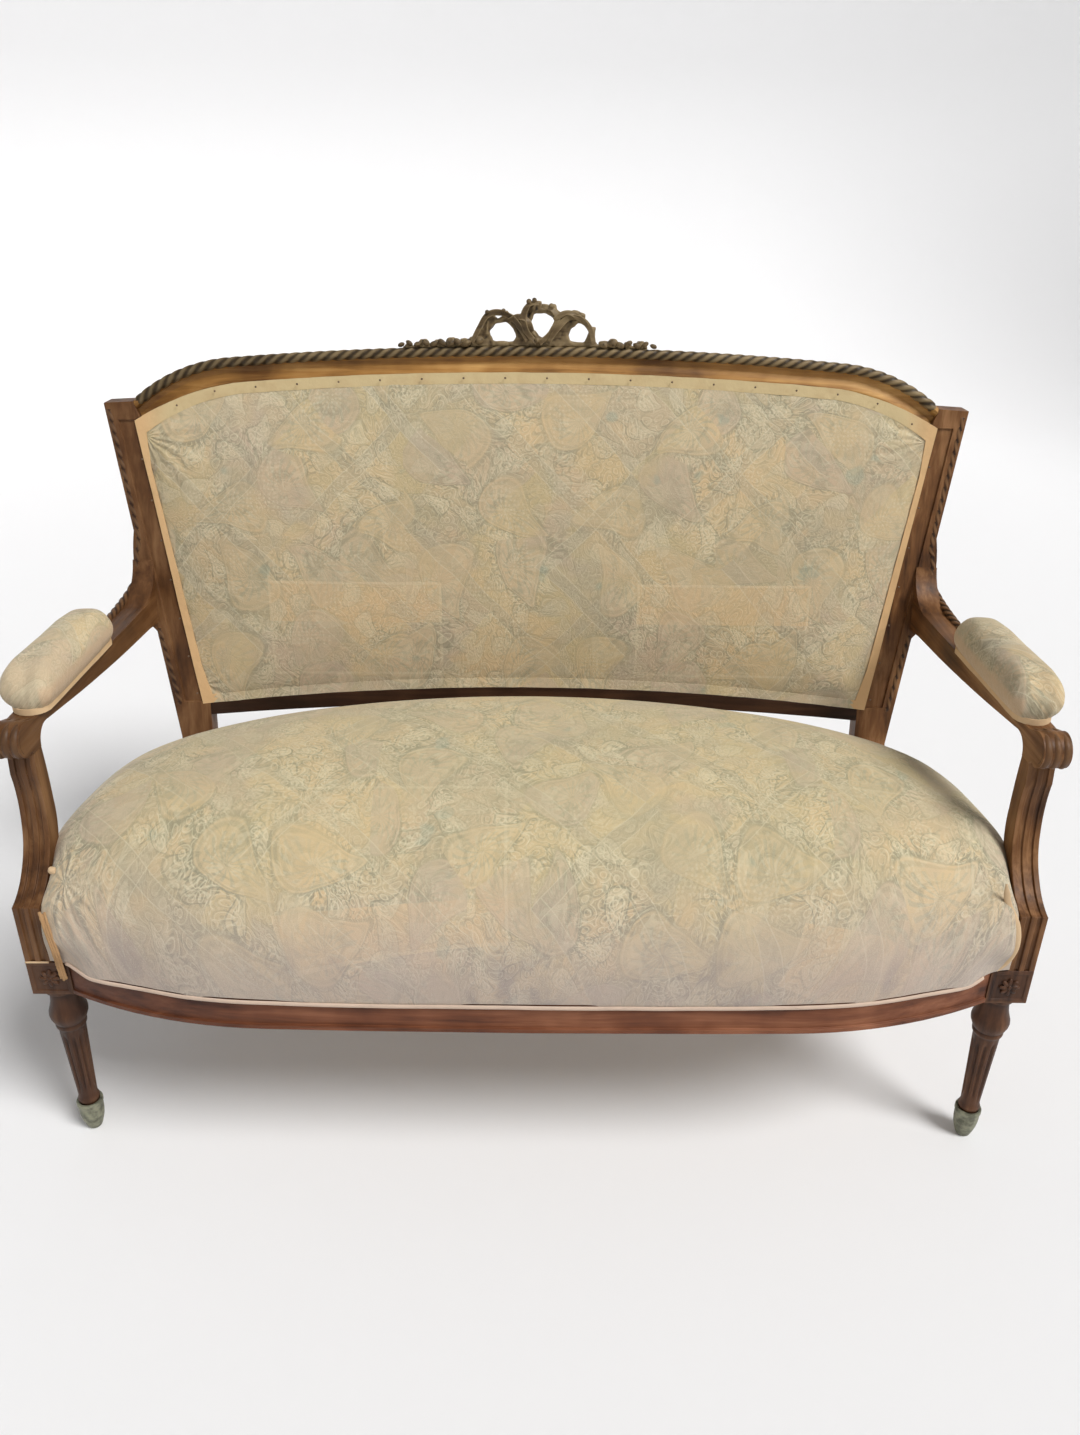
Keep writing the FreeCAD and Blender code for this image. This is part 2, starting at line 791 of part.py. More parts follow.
def crest_carving():
    front = -crest_front
    back = -crest_back
    left_edge = (garland_left, crown_edge(garland_left))
    right_edge = (garland_right, crown_edge(garland_right))
    middle = (garland_left + garland_right) / 2
    left_top = (garland_left, left_edge[1] + garland_height / 2)
    base = outline(
        at_height(back),
        left_edge,
        [
            ((middle, crown_edge(middle)), right_edge),
            (garland_right, right_edge[1] + garland_height / 2),
            ((middle, crown_edge(middle) + garland_height), left_top),
        ],
    )
    carving = prism(base, Vec(0, 0, front - 1.0 - back))
    loops = closed_shape([(-92.0, 1.0)] + bow_outline, back, front)
    loops = loops.cut([closed_shape(points, back - 1, front + 1) for points in bow_holes])
    solids = [loops]
    for start, end, width, height in ribbon_folds:
        foot = over_crown(front - 0.5)(*start)
        run = Vec(end[0] - start[0], end[1] - start[1], 0)
        across = Vec(-run.y, run.x, 0) * (width / 2 / run.Length)
        corners = [foot - across, foot + run - across, foot + run + across, foot + across]
        lift = Vec(0, 0, height + 0.5)
        solids.append(ridge_block(corners, [foot + run * 0.2 + lift, foot + run * 0.8 + lift]))
    for along, radius in garland_buds:
        centre = Vec(along, crown_edge(along) + radius * 0.45, 0)
        levels = [(radius, back), (radius, front - 2.0), (radius * 0.45, front + 3.0)]
        solids.append(straight_loft([six_sided(centre, reach, height) for reach, height in levels]))
    carving = carving.fuse(solids)
    first_x = garland_left - 20.0
    last_x = garland_right + 40.0
    below_outline = outline(
        at_height(back - 5),
        (first_x, crown_edge(first_x)),
        [
            ((0.0, crown_rise), (last_x, crown_edge(last_x))),
            (last_x, crown_rise - 60.0),
            (first_x, crown_rise - 60.0),
        ],
    )
    below = prism(below_outline, Vec(0, 0, crest_back + crest_front + 17.0))
    parts["crest_carving"] = leaned(carving.cut(below))


# A roof-like block on four corners with a ridge of two points, for a carved fold
def ridge_block(corners, tops):
    a, b, c, d = corners
    start, end = tops
    faces = [
        Part.Face(Part.makePolygon([a, b, c, d, a])),
        Part.Face(Part.makePolygon([a, d, start, a])),
        Part.Face(Part.makePolygon([b, c, end, b])),
        Part.Face(Part.makePolygon([a, b, end, a])),
        Part.Face(Part.makePolygon([a, end, start, a])),
        Part.Face(Part.makePolygon([c, d, start, c])),
        Part.Face(Part.makePolygon([c, start, end, c])),
    ]
    return Part.Solid(Part.Shell(faces))


# Height on the arm support, as a share of the way from its knee to its top
def up(share):
    return die_top + support_knee + share * (support_top - die_top - support_knee)


support_front_edge = [
    (-half_die, die_top),
    (-half_die, up(0.0)),
    ((-4.0, up(0.056)), (13.0, up(0.14))),
    ((30.0, up(0.275)), (40.0, up(0.45))),
    ((44.0, up(0.65)), (41.0, up(0.85))),
    (support_head_front, support_top),
]
support_back_edge = [
    (support_head_back, support_top),
    ((68.0, up(0.787)), (68.0, up(0.567))),
    ((63.0, up(0.326)), (50.0, up(0.157))),
    ((38.0, up(0.067)), (half_die - 1.0, up(0.011))),
    (half_die - 1.0, die_top),
]


def moved_points(points, dy, dz):
    moved = []
    for point in points:
        if isinstance(point[0], tuple):
            moved.append(tuple((y + dy, z + dz) for y, z in point))
        else:
            moved.append((point[0] + dy, point[1] + dz))
    return moved


def arm_support():
    points = support_front_edge + support_back_edge
    core_front_y = -half_die + groove_depth
    core_front = [(core_front_y, die_top), (core_front_y, up(0.0) - groove_depth * 0.5)]
    core_front += moved_points(support_front_edge[2:5], groove_depth * 0.8, -groove_depth * 0.7)
    core_front.append((support_head_front + groove_depth * 0.8, support_top))
    core = core_front + support_back_edge
    support = prism(outline(at_side(arm_inner_front), core[0], core[1:]), Vec(arm_width, 0, 0))
    ridge_width = (arm_width - groove_count * groove_width) / (groove_count + 1)
    ridges = []
    for number in range(groove_count + 1):
        x = arm_inner_front + number * (ridge_width + groove_width)
        wire = outline(at_side(x), points[0], points[1:])
        ridges.append(prism(wire, Vec(ridge_width, 0, 0)))
    tenons = [box(*support_foot_tenon), box(*support_head_tenon)]
    both_sides("arm_support", support.fuse(ridges + tenons).removeSplitter())


def arm():
    flare_y = back_plane_y + (arm_flare_top - back_plane_z) * math.tan(lean)
    root_y = back_plane_y + (arm_under_back - back_plane_z) * math.tan(lean)
    middle_y = (scroll_y + back_plane_y) / 2
    rail_start = support_head_back + 30.0
    side = outline(
        at_side(0.0),
        (support_head_back, support_top),
        [
            ((support_head_back + 8.0, arm_under_front - 6.0), (rail_start, arm_under_front)),
            ((middle_y, arm_under_front - 12.0), (back_plane_y - 10.0, arm_under_back + 5.0)),
            (root_y, arm_under_back),
            (flare_y, arm_flare_top),
            ((flare_y - 24.0, arm_top + 16.0), (flare_y - 74.0, arm_top)),
            (scroll_y + 30.0, arm_top),
            (scroll_y + 14.0, scroll_z + scroll_radius - 3.0),
            ((scroll_y - 14.0, scroll_z + scroll_radius - 5.0), (scroll_y - scroll_radius, scroll_z)),
            ((scroll_y - 16.0, scroll_z - 15.0), (scroll_y, scroll_z - scroll_radius)),
            ((scroll_y + 7.0, scroll_z - scroll_radius + 2.0), (support_head_front, support_top)),
        ],
    )
    side_solid = prism(side, Vec(2 * half_leg, 0, 0))
    plan = outline(
        at_height(0.0),
        (arm_inner_front, 0.0),
        [
            (arm_inner_front, 80.0),
            ((arm_inner_front - 8.0, middle_y + 30.0), (arm_inner_back, root_y + 30.0)),
            (arm_boss_x, root_y + 30.0),
            ((arm_outer_mid - 1.0, middle_y + 80.0), (arm_outer_front, 80.0)),
            (arm_outer_front, 0.0),
        ],
    )
    shape = side_solid.common(prism(plan, Vec(0, 0, 2 * arm_top)))
    shape = shape.cut(grown_box(*support_head_tenon, joint_gap))
    shape = shape.fuse(leaned(box(*arm_tenon)))
    both_sides("arm", shape)


def corner_blocks():
    z = (rail_bottom + rail_top) / 2 - block_height / 2
    inner = rail_thick * math.sqrt(1 + side_slope**2)
    front_corner = [
        (side_x(half_die + joint_gap) - inner, half_die + joint_gap),
        (side_x(half_die + block_leg) - inner, half_die + block_leg),
        (side_x(half_die + block_leg) - inner - 8.0, half_die + block_leg),
        (die_inner - block_leg, bow_y(die_inner - block_leg, -rail_thick) + 8.0),
        (die_inner - block_leg, bow_y(die_inner - block_leg, -rail_thick)),
        (die_inner - joint_gap, bow_y(die_inner - joint_gap, -rail_thick)),
        (die_inner - joint_gap, half_die + joint_gap),
    ]
    back_corner = [
        (side_x(post_front_y - joint_gap) - inner, post_front_y - joint_gap),
        (side_x(post_front_y - block_leg) - inner, post_front_y - block_leg),
        (side_x(post_front_y - block_leg) - inner - 8.0, post_front_y - block_leg),
        (post_inner_seat - block_leg, post_front_y - 8.0),
        (post_inner_seat - block_leg, post_front_y - joint_gap),
    ]
    blocks = []
    for corner in (front_corner, back_corner):
        wire = outline(at_height(z), corner[0], corner[1:])
        blocks.append(prism(wire, Vec(0, 0, block_height)))
    parts["corner_blocks"] = Part.Compound(blocks + [mirrored(block) for block in blocks])


# Corner of a square with rounded-off corners, 1 each way from its middle, in a direction in degrees
def rounded_square(squareness, angle):
    across = math.cos(math.radians(angle))
    along = math.sin(math.radians(angle))
    reach = (across**squareness + along**squareness) ** (-1 / squareness)
    return reach * across, reach * along


# One level of the seat's crown: a bowed front, slanting sides and corners that get rounder higher up
def seat_ring(height, front_in, side_in, back_in, front_square, back_square, angles):
    last_x = die_inner + 2 * (half_leg - die_inner) - 14.0
    half = []
    for angle in angles:
        u, v = rounded_square(front_square, angle)
        x = y = 0.0
        for _ in range(4):
            x = (side_x(y) + cover_lap - side_in) * u
            front_y = bow_y(min(x, last_x), cover_lap) + front_in
            y = seat_middle_y - v * (seat_middle_y - front_y)
        half.append((x, y))
    for angle in reversed(angles[:-1]):
        u, v = rounded_square(back_square, angle)
        y = seat_middle_y + v * (seat_back_y - back_in - seat_middle_y)
        half.append(((side_x(y) + cover_lap - side_in) * u, y))
    ring = half + [(-x, y) for x, y in reversed(half[1:-1])]
    corners = [Vec(x, y, height) for x, y in ring]
    return Part.makePolygon(corners + [corners[0]])


def seat_dome(inset, base, levels, angles):
    rings = []
    for number, (over_hem, front_in, side_in, back_in, front_square, back_square) in enumerate(levels):
        height = base if number == 0 else cover_hem + over_hem - inset
        drawn_in = (front_in + inset, side_in + inset, back_in + inset)
        rings.append(seat_ring(height, *drawn_in, front_square, back_square, angles))
    return straight_loft(rings)


# Room that the frame takes from the padding: dies, arm supports, back posts and rear rail
def frame_room(gap):
    outward = 160.0
    low = rail_bottom - outward
    high = arm_top + outward
    die = box((die_inner - gap, die_inner + outward), (-outward, half_die + gap), (low, die_top + gap))
    grown = moved_points(support_back_edge[:-1], gap + 0.3, 0.0)
    steps = [(grown[0][0], high), grown[0]] + grown[1:] + [(grown[-1][1][0], low), (-outward, low)]
    support = prism(
        outline(at_side(arm_inner_front - gap), (-outward, high), steps),
        Vec(outward, 0, 0),
    )
    post = box(
        (post_inner_seat - gap, post_inner_seat + outward),
        (post_front_y - gap, post_front_y + outward),
        (low, high),
    )
    rear = box((-half_leg, half_leg), (post_front_y - gap, post_front_y + outward), (low, rail_top))
    right = [die, support, post]
    return right + [mirrored(shape) for shape in right] + [rear]


# Cloth laid over the springs: a low tent from the rails' tops up to the spring heads
def tent(inset, base):
    low = [
        (0.0, bow_front + rail_thick - 4.0),
        (bow_mid_half, bow_y(bow_mid_half) + rail_thick + 4.0),
        (die_inner - 10.0, 0.0),
        (half_leg - 3.0, 42.0),
        (post_inner_seat + 15.0, back_plane_y - 16.0),
        (post_inner_seat - 13.0, back_plane_y - 5.0),
    ]
    low += [(-x, y) for x, y in reversed(low) if x > 0]
    middle_y = (low[0][1] + low[5][1]) / 2
    wires = []
    foot_share = 1.0 + (rail_top - base) * (1.0 - tent_share) / (tent_top - rail_top)
    for share, height in ((foot_share, base), (tent_share, tent_top - inset)):
        draw = share - inset / middle_y
        ring = [(x * draw, middle_y + (y - middle_y) * draw) for x, y in low]
        wires.append(outline(at_height(height), ring[0], ring[1:]))
    return straight_loft(wires)


# Everything inside the outer faces of the rails, below their tops
def rail_room(gap):
    bow = bow_points(die_inner, gap)
    rail_face = side_x(half_die) + gap
    rear_face = side_x(post_front_y) + gap
    steps = bow_steps(bow) + [
        (rail_face, half_die),
        (rear_face, post_front_y),
        (-rear_face, post_front_y),
        (-rail_face, half_die),
    ]
    return prism(outline(at_height(rail_bottom), bow[0], steps), Vec(0, 0, rail_top - rail_bottom))


def seat_padding():
    room = frame_room(soft_gap)
    outer = seat_dome(0.0, cover_hem, seat_levels, seat_angles)
    inner = seat_dome(cover_thick, cover_hem - 1.0, seat_levels, seat_angles)
    parts["seat_cover"] = outer.cut([inner, rail_room(soft_gap)] + room)
    filling = seat_dome(cover_thick + 2 * soft_gap, cover_hem - 1.0, seat_levels, hidden_angles)
    below = box((-leg_spacing, leg_spacing), (-half_leg, half_leg), (0.0, rail_top))
    parts["seat_stuffing"] = filling.cut([below, tent(-soft_gap, rail_top - 1.0)] + room)
    hessian = tent(0.0, rail_top).cut(tent(hessian_thick, rail_top - 1.0))
    parts["spring_hessian"] = hessian


def seat_edge_band():
    outer = bow_points(die_inner - soft_gap, edge_band_thick)
    inner = bow_points(die_inner - soft_gap, 0.0)
    back_steps = [
        (inner[6][0], inner[6][1]),
        (inner[5], inner[4]),
        (inner[3], inner[2]),
        (inner[1], inner[0]),
    ]
    low = cover_hem - edge_band_height
    front_wire = outline(at_height(low), outer[0], bow_steps(outer) + back_steps)
    front = prism(front_wire, Vec(0, 0, edge_band_height))
    start = half_die + soft_gap
    end = post_front_y - soft_gap
    side_steps = [
        (side_x(end), end),
        (side_x(end) + edge_band_thick, end),
        (side_x(start) + edge_band_thick, start),
    ]
    side_wire = outline(at_height(low), (side_x(start), start), side_steps)
    side = prism(side_wire, Vec(0, 0, edge_band_height))
    parts["seat_edge_band"] = Part.Compound([front, side, mirrored(side)])


# A woven band in its own length and height: it passes over and under the bands that cross it
def woven_profile(start, end, crossings, first_over, top):
    over = top - webbing_thick
    under = top - 2 * webbing_thick
    half = webbing_width / 2 + 4.0
    path = [(start, over)]
    is_over = first_over
    for crossing in crossings:
        level = over if is_over else under
        path += [(crossing - half, level), (crossing + half, level)]
        is_over = not is_over
    path.append((end, over))
    return path + [(along, level + webbing_thick) for along, level in reversed(path)]


def seat_webbing():
    long_rows = [long_web_first + number * long_web_pitch for number in range(long_webs)]
    columns = [(number - (cross_webs - 1) / 2) * cross_web_pitch for number in range(cross_webs)]
    long_bands = []
    for number, row in enumerate(long_rows):
        reach = side_x(row + webbing_width / 2) - 6.0
        inner = [x for x in columns if abs(x) + webbing_width / 2 + 10 < reach]
        profile = woven_profile(-reach, reach, inner, number % 2 == 0, rail_bottom)
        wire = outline(at_front(row - webbing_width / 2), profile[0], profile[1:])
        long_bands.append(prism(wire, Vec(0, webbing_width, 0)))
    cross_bands = []
    for number, column in enumerate(columns):
        start = bow_y(abs(column) + webbing_width / 2) + 10.0
        end = post_front_y + rear_rail_thick - 6.0
        profile = woven_profile(start, end, long_rows, number % 2 == 1, rail_bottom)
        wire = outline(at_side(column - webbing_width / 2), profile[0], profile[1:])
        cross_bands.append(prism(wire, Vec(webbing_width, 0, 0)))
    parts["seat_webbing_long"] = Part.Compound(long_bands)
    parts["seat_webbing_cross"] = Part.Compound(cross_bands)


def spring_point(share):
    angle = 2 * math.pi * spring_turns * share
    radius = spring_waist_radius + (spring_end_radius - spring_waist_radius) * (2 * share - 1) ** 2
    low = rail_bottom + soft_gap + spring_wire / 2
    high = tent_top - hessian_thick - soft_gap - spring_wire / 2
    return Vec(radius * math.cos(angle), radius * math.sin(angle), low + (high - low) * share)


def spring():
    count = spring_turns * spring_sides
    path = Part.makePolygon([spring_point(number / count) for number in range(count + 1)])
    start = spring_point(0)
    half = spring_wire / 2
    square = Part.makePolygon([
        start + Vec(dx, 0, dz)
        for dx, dz in ((-half, -half), (half, -half), (half, half), (-half, half), (-half, -half))
    ])
    shell = Part.BRepOffsetAPI.MakePipeShell(path)
    shell.setTransitionMode(1)
    shell.add(square)
    shell.build()
    shell.makeSolid()
    return shell.shape()


# Least gap between neighbouring turns of a spring, on points along its centre line
def spring_gap():
    samples = 60 * spring_turns
    points = [spring_point(number / samples) for number in range(samples + 1)]
    least = min(
        (points[a] - points[b]).Length
        for a in range(samples)
        for b in range(a + 30, samples + 1)
    )
    return least - spring_wire * math.sqrt(2)


def seat_springs():
    one = spring()
    rows = [long_web_first + long_web_pitch, long_web_first + 3 * long_web_pitch]
    springs = []
    for column in range(spring_columns):
        for row in rows:
            placed = one.copy()
            x = (column - (spring_columns - 1) / 2) * 2 * cross_web_pitch
            placed.translate(Vec(x, row, 0))
            springs.append(placed)
    parts["seat_springs"] = Part.Compound(springs)
    print("least gap between spring turns", round(spring_gap(), 2), "mm")


def panel_top_at(x):
    return panel_top_mid - x**2 / (2 * crown_radius)


def panel_bottom_at(x):
    drop = panel_bottom_mid - panel_bottom_rise
    return panel_bottom_mid - drop * (x / panel_bottom_x) ** 2


def back_webbing():
    p = panel_points(0.0)
    column_pitch = back_web_share * panel_bottom_x
    columns = [number * column_pitch for number in range(-2, 3)]
    rows = [p["bottom"][1] + share * (p["corner"][1] - p["bottom"][1]) for share in back_web_rows]
    top = -rebate_sink + 2 * webbing_thick
    uprights = []
    for number, column in enumerate(columns):
        start = panel_bottom_at(abs(column) + webbing_width / 2) + 9.0
        end = panel_top_at(abs(column) + webbing_width / 2) - 9.0
        profile = woven_profile(start, end, rows, number % 2 == 0, top)
        edge_x = column - webbing_width / 2
        wire = outline(lambda rise, depth: Vec(edge_x, rise, depth), profile[0], profile[1:])
        uprights.append(leaned(prism(wire, Vec(webbing_width, 0, 0))))
    crossing = []
    for number, row in enumerate(rows):
        share = (row - webbing_width / 2 - p["bottom"][1]) / (p["corner"][1] - p["bottom"][1])
        reach = p["bottom"][0] + (p["corner"][0] - p["bottom"][0]) * share - 5.0
        profile = woven_profile(-reach, reach, columns, number % 2 == 1, top)
        edge_rise = row - webbing_width / 2
        wire = outline(lambda x, depth: Vec(x, edge_rise, depth), profile[0], profile[1:])
        crossing.append(leaned(prism(wire, Vec(0, webbing_width, 0))))
    parts["back_webbing_upright"] = Part.Compound(uprights)
    parts["back_webbing_cross"] = Part.Compound(crossing)


def back_dome(inset, base, chords):
    rings = [panel_outline(back_levels[0][0] + inset, base, chords)]
    flange = base_level() + cover_thick
    for draw, rise in back_levels[1:]:
        rings.append(panel_outline(draw + inset, flange + rise - inset, chords))
    return straight_loft(rings)


# Depth at which the back's cloth cover starts, on the hessian that lies over the webbing
def base_level():
    return -rebate_sink + 2 * webbing_thick + back_cloth_thick


def back_padding():
    hessian_low = -rebate_sink + 2 * webbing_thick
    parts["back_hessian"] = leaned(panel_block(1.0, hessian_low, hessian_low + back_cloth_thick))
    level = base_level()
    edge = soft_gap
    flange = panel_block(edge, level, level + cover_thick)
    crown = back_dome(0.0, level + cover_thick - 0.5, shown_chords)
    hollow = back_dome(cover_thick, level - 1.0, hidden_chords)
    parts["back_cover"] = leaned(flange.fuse(crown).cut(hollow))
    pad = back_dome(cover_thick + soft_gap, level - 1.0, hidden_chords)
    below = box((-half_leg, half_leg), (0.0, crown_rise), (-2 * back_thick, level))
    parts["back_pad"] = leaned(pad.cut(below))
    tape = panel_block(edge, level + cover_thick, level + cover_thick + tape_thick)
    tape = tape.cut(panel_block(edge + tape_width, level, level + 10.0))
    parts["back_edge_band"] = leaned(tape)
    rear = panel_block(-2.0, -back_thick - back_cloth_thick, -back_thick)
    parts["outside_back_cover"] = leaned(rear)


# Rounded pad on an arm: rings of two lines and two arcs that swell over the arm and close at the top
def pad_ring(height, overhang, end_in, chords):
    inner = arm_inner_front - 5.0 - overhang
    outer = arm_outer_mid - 1.0 + overhang
    middle = (inner + outer) / 2
    start = pad_start + end_in
    end = pad_end - end_in
    bend = min((outer - inner) * 0.42, 24.0)
    return outline(
        at_height(height),
        (inner, start + bend),
        [
            ((middle, start), (outer, start + bend)),
            (outer - 2.0, end - bend),
            ((middle - 1.0, end), (inner - 3.0, end - bend)),
            (inner, start + bend),
        ],
        chords,
    )


def pad_body(inset, base, chords):
    low = arm_top + soft_gap
    levels = [
        (base, pad_foot, 0.0),
        (low + pad_band_height, pad_foot, 0.0),
        (low + pad_height * 0.26, pad_overhang * 0.85, -2.0),
        (low + pad_height * 0.45, pad_overhang, -2.0),
        (low + pad_height * 0.70, pad_overhang * 0.6, 5.0),
        (low + pad_height * 0.89, -pad_overhang * 0.2, 18.0),
        (low + pad_height, -pad_overhang, 42.0),
    ]
    rings = []
    for number, (height, overhang, end_in) in enumerate(levels):
        level = height if number == 0 else height - inset
        rings.append(pad_ring(level, overhang - inset, end_in + inset, chords))
    return straight_loft(rings)


def arm_padding():
    low = arm_top + soft_gap
    outer = pad_body(0.0, low, shown_chords * 2)
    cover = outer.cut(pad_body(cover_thick, low - 1.0, hidden_chords))
    parts["arm_pad_covers"] = Part.Compound([cover, mirrored(cover)])
    both_sides("arm_pad", pad_body(cover_thick + soft_gap, low, hidden_chords))
    gap = soft_gap
    grown = gap + edge_band_thick
    outer_ring = pad_ring(low, pad_foot + grown, -grown, shown_chords * 2)
    inner_ring = pad_ring(low - 1.0, pad_foot + gap, -gap, shown_chords * 2)
    band = prism(outer_ring, Vec(0, 0, pad_band_height))
    band = band.cut(prism(inner_ring, Vec(0, 0, pad_band_height + 2.0)))
    parts["arm_pad_bands"] = Part.Compound([band, mirrored(band)])


front_leg()
foot_cup()
front_rail()
side_rail()
rear_rail()
back_post()
top_rail()
lower_back_rail()
crest_carving()
arm_support()
arm()
corner_blocks()
seat_webbing()
seat_springs()
seat_padding()
seat_edge_band()
back_webbing()
back_padding()
arm_padding()

# Everything moves so that the origin is under the middle of the whole, on the floor
whole = Part.Compound(list(parts.values())).optimalBoundingBox(False, False)
shift = Vec(-(whole.XMin + whole.XMax) / 2, -(whole.YMin + whole.YMax) / 2, -whole.ZMin)
os.makedirs("parts", exist_ok=True)
for name, shape in parts.items():
    shape.translate(shift)
    shape.exportStep("parts/" + name + ".step")
print("overall", round(whole.XLength, 1), round(whole.YLength, 1), round(whole.ZLength, 1), "mm")
print("shift", round(shift.y, 2), "mm;", len(parts), "sub-parts")
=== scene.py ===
import bmesh
import bpy
import math
from mathutils import Matrix, Vector, noise
from mathutils.bvhtree import BVHTree


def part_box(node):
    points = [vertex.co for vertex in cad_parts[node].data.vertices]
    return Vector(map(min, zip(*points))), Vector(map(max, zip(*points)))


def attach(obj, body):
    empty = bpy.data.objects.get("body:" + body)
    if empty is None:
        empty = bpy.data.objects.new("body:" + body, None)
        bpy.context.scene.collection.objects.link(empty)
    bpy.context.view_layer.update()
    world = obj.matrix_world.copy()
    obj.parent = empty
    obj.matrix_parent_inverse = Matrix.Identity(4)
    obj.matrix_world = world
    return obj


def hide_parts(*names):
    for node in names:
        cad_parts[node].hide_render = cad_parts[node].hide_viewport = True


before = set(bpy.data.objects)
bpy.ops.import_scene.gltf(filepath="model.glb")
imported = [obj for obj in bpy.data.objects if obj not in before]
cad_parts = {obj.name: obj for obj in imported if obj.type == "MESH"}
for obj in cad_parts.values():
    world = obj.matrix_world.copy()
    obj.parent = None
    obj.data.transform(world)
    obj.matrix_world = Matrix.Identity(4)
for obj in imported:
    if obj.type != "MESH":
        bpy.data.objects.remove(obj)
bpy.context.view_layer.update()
scene = bpy.context.scene

# Where the frame puts things, in metres: the front faces -Y
cupRadius = 0.0176
legX = 0.615
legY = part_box("foot_cups")[0].y + cupRadius
backPlane = {"y": legY + 0.460, "z": 0.380, "lean": math.radians(9.5)}
riseWay = Vector((0, math.sin(backPlane["lean"]), math.cos(backPlane["lean"])))
outWay = Vector((0, -math.cos(backPlane["lean"]), math.sin(backPlane["lean"])))
frontWay = Vector((0, -1, 0))


def onBack(x, rise, out=0.0):
    return Vector((x, backPlane["y"], backPlane["z"])) + riseWay * rise + outWay * out


# A place as the back sees it: across, up its slope and out of it
def backShape(place):
    offset = place - Vector((0, backPlane["y"], backPlane["z"]))
    return Vector((place.x, offset.dot(riseWay), offset.dot(outWay)))


def eased(value, low, high):
    share = min(1.0, max(0.0, (value - low) / (high - low)))
    return share * share * (3 - 2 * share)


def linked(name, data):
    thing = bpy.data.objects.new(name, data)
    scene.collection.objects.link(thing)
    return thing


# Shader maths as plain expressions: one class wraps a socket
class Shade:
    tree = None

    def __init__(self, socket):
        self.socket = socket

    @classmethod
    def add(cls, kind, settings=None, **inputs):
        node = cls.tree.nodes.new(kind)
        for key, value in (settings or {}).items():
            if key == "stops":
                ramp = node.color_ramp
                while len(ramp.elements) < len(value):
                    ramp.elements.new(0.5)
                for element, (place, colour) in zip(ramp.elements, value):
                    element.position = place
                    element.color = (*colour, 1)
            else:
                setattr(node, key, value)
        for key, value in inputs.items():
            cls.put(node.inputs[int(key[1:]) if key[0] == "_" else key], value)
        return node

    @classmethod
    def put(cls, socket, value):
        if isinstance(value, Shade):
            cls.tree.links.new(value.socket, socket)
        elif isinstance(value, tuple) and len(value) == 3 and socket.type == "RGBA":
            socket.default_value = (*value, 1)
        else:
            socket.default_value = value

    @classmethod
    def maths(cls, operation, a, b=None):
        values = {"_0": a} if b is None else {"_0": a, "_1": b}
        return made("ShaderNodeMath", {"operation": operation}, **values)

    def __add__(self, other):
        return Shade.maths("ADD", self, other)

    def __radd__(self, other):
        return Shade.maths("ADD", other, self)

    def __sub__(self, other):
        return Shade.maths("SUBTRACT", self, other)

    def __rsub__(self, other):
        return Shade.maths("SUBTRACT", other, self)

    def __mul__(self, other):
        return Shade.maths("MULTIPLY", self, other)

    def __rmul__(self, other):
        return Shade.maths("MULTIPLY", other, self)

    def __truediv__(self, other):
        return Shade.maths("DIVIDE", self, other)

    def __mod__(self, other):
        return Shade.maths("FLOORED_MODULO", self, other)

    def __lt__(self, other):
        return Shade.maths("LESS_THAN", self, other)

    def __gt__(self, other):
        return Shade.maths("GREATER_THAN", self, other)


# One output of a new node
def made(kind, settings=None, output=0, **inputs):
    return Shade(Shade.add(kind, settings, **inputs).outputs[output])


def clamp01(value):
    return made("ShaderNodeClamp", _0=value)


def smooth(value, low, high):
    return made("ShaderNodeMapRange", {"interpolation_type": "SMOOTHSTEP"}, _0=value, _1=low, _2=high)


def mixed(share, first, second):
    return made("ShaderNodeMix", {"data_type": "RGBA"}, 2, _0=share, _6=first, _7=second)


def noisy(vector, scale, detail=2.0, roughness=0.5, distortion=0.0, flat=False):
    return made("ShaderNodeTexNoise", {"noise_dimensions": "2D" if flat else "3D"}, Vector=vector, Scale=scale,
                Detail=detail, Roughness=roughness, Distortion=distortion)


def chance(vector):
    return made("ShaderNodeTexWhiteNoise", {"noise_dimensions": "2D"}, Vector=vector)


def cellNode(vector, scale, randomness):
    return Shade.add("ShaderNodeTexVoronoi", {"feature": "F1", "voronoi_dimensions": "2D"}, Vector=vector,
                     Scale=scale, Randomness=randomness)


def cells(vector, scale, randomness):
    return Shade(cellNode(vector, scale, randomness).outputs[0])


def stretched(vector, scale, turn=(0, 0, 0)):
    return made("ShaderNodeMapping", Vector=vector, Rotation=turn, Scale=scale)


def fraction(value):
    return Shade.maths("FRACT", value)


def floored(value):
    return Shade.maths("FLOOR", value)


def sine(value):
    return Shade.maths("SINE", value)


def unsigned(value):
    return Shade.maths("ABSOLUTE", value)


# 1 on thin lines where the value passes each whole number, 0 between them
def lines(value, width):
    off = unsigned(fraction(value + 0.5) - 0.5)
    return 1.0 - smooth(off, width * 0.4, width)


def newMaterial(name):
    material = bpy.data.materials.new(name)
    material.use_nodes = True
    Shade.tree = material.node_tree
    return material, material.node_tree.nodes["Principled BSDF"].inputs


def objectPlace():
    return Shade(Shade.add("ShaderNodeTexCoord").outputs["Object"])


def parted(vector):
    return [Shade(output) for output in Shade.add("ShaderNodeSeparateXYZ", _0=vector).outputs]


def joined(x, y, z=0.0):
    return made("ShaderNodeCombineXYZ", _0=x, _1=y, _2=z)


def bumped(height, strength, distance):
    return made("ShaderNodeBump", Height=height, Strength=strength, Distance=distance)


def toned(colour, share):
    return tuple(value * share for value in colour)


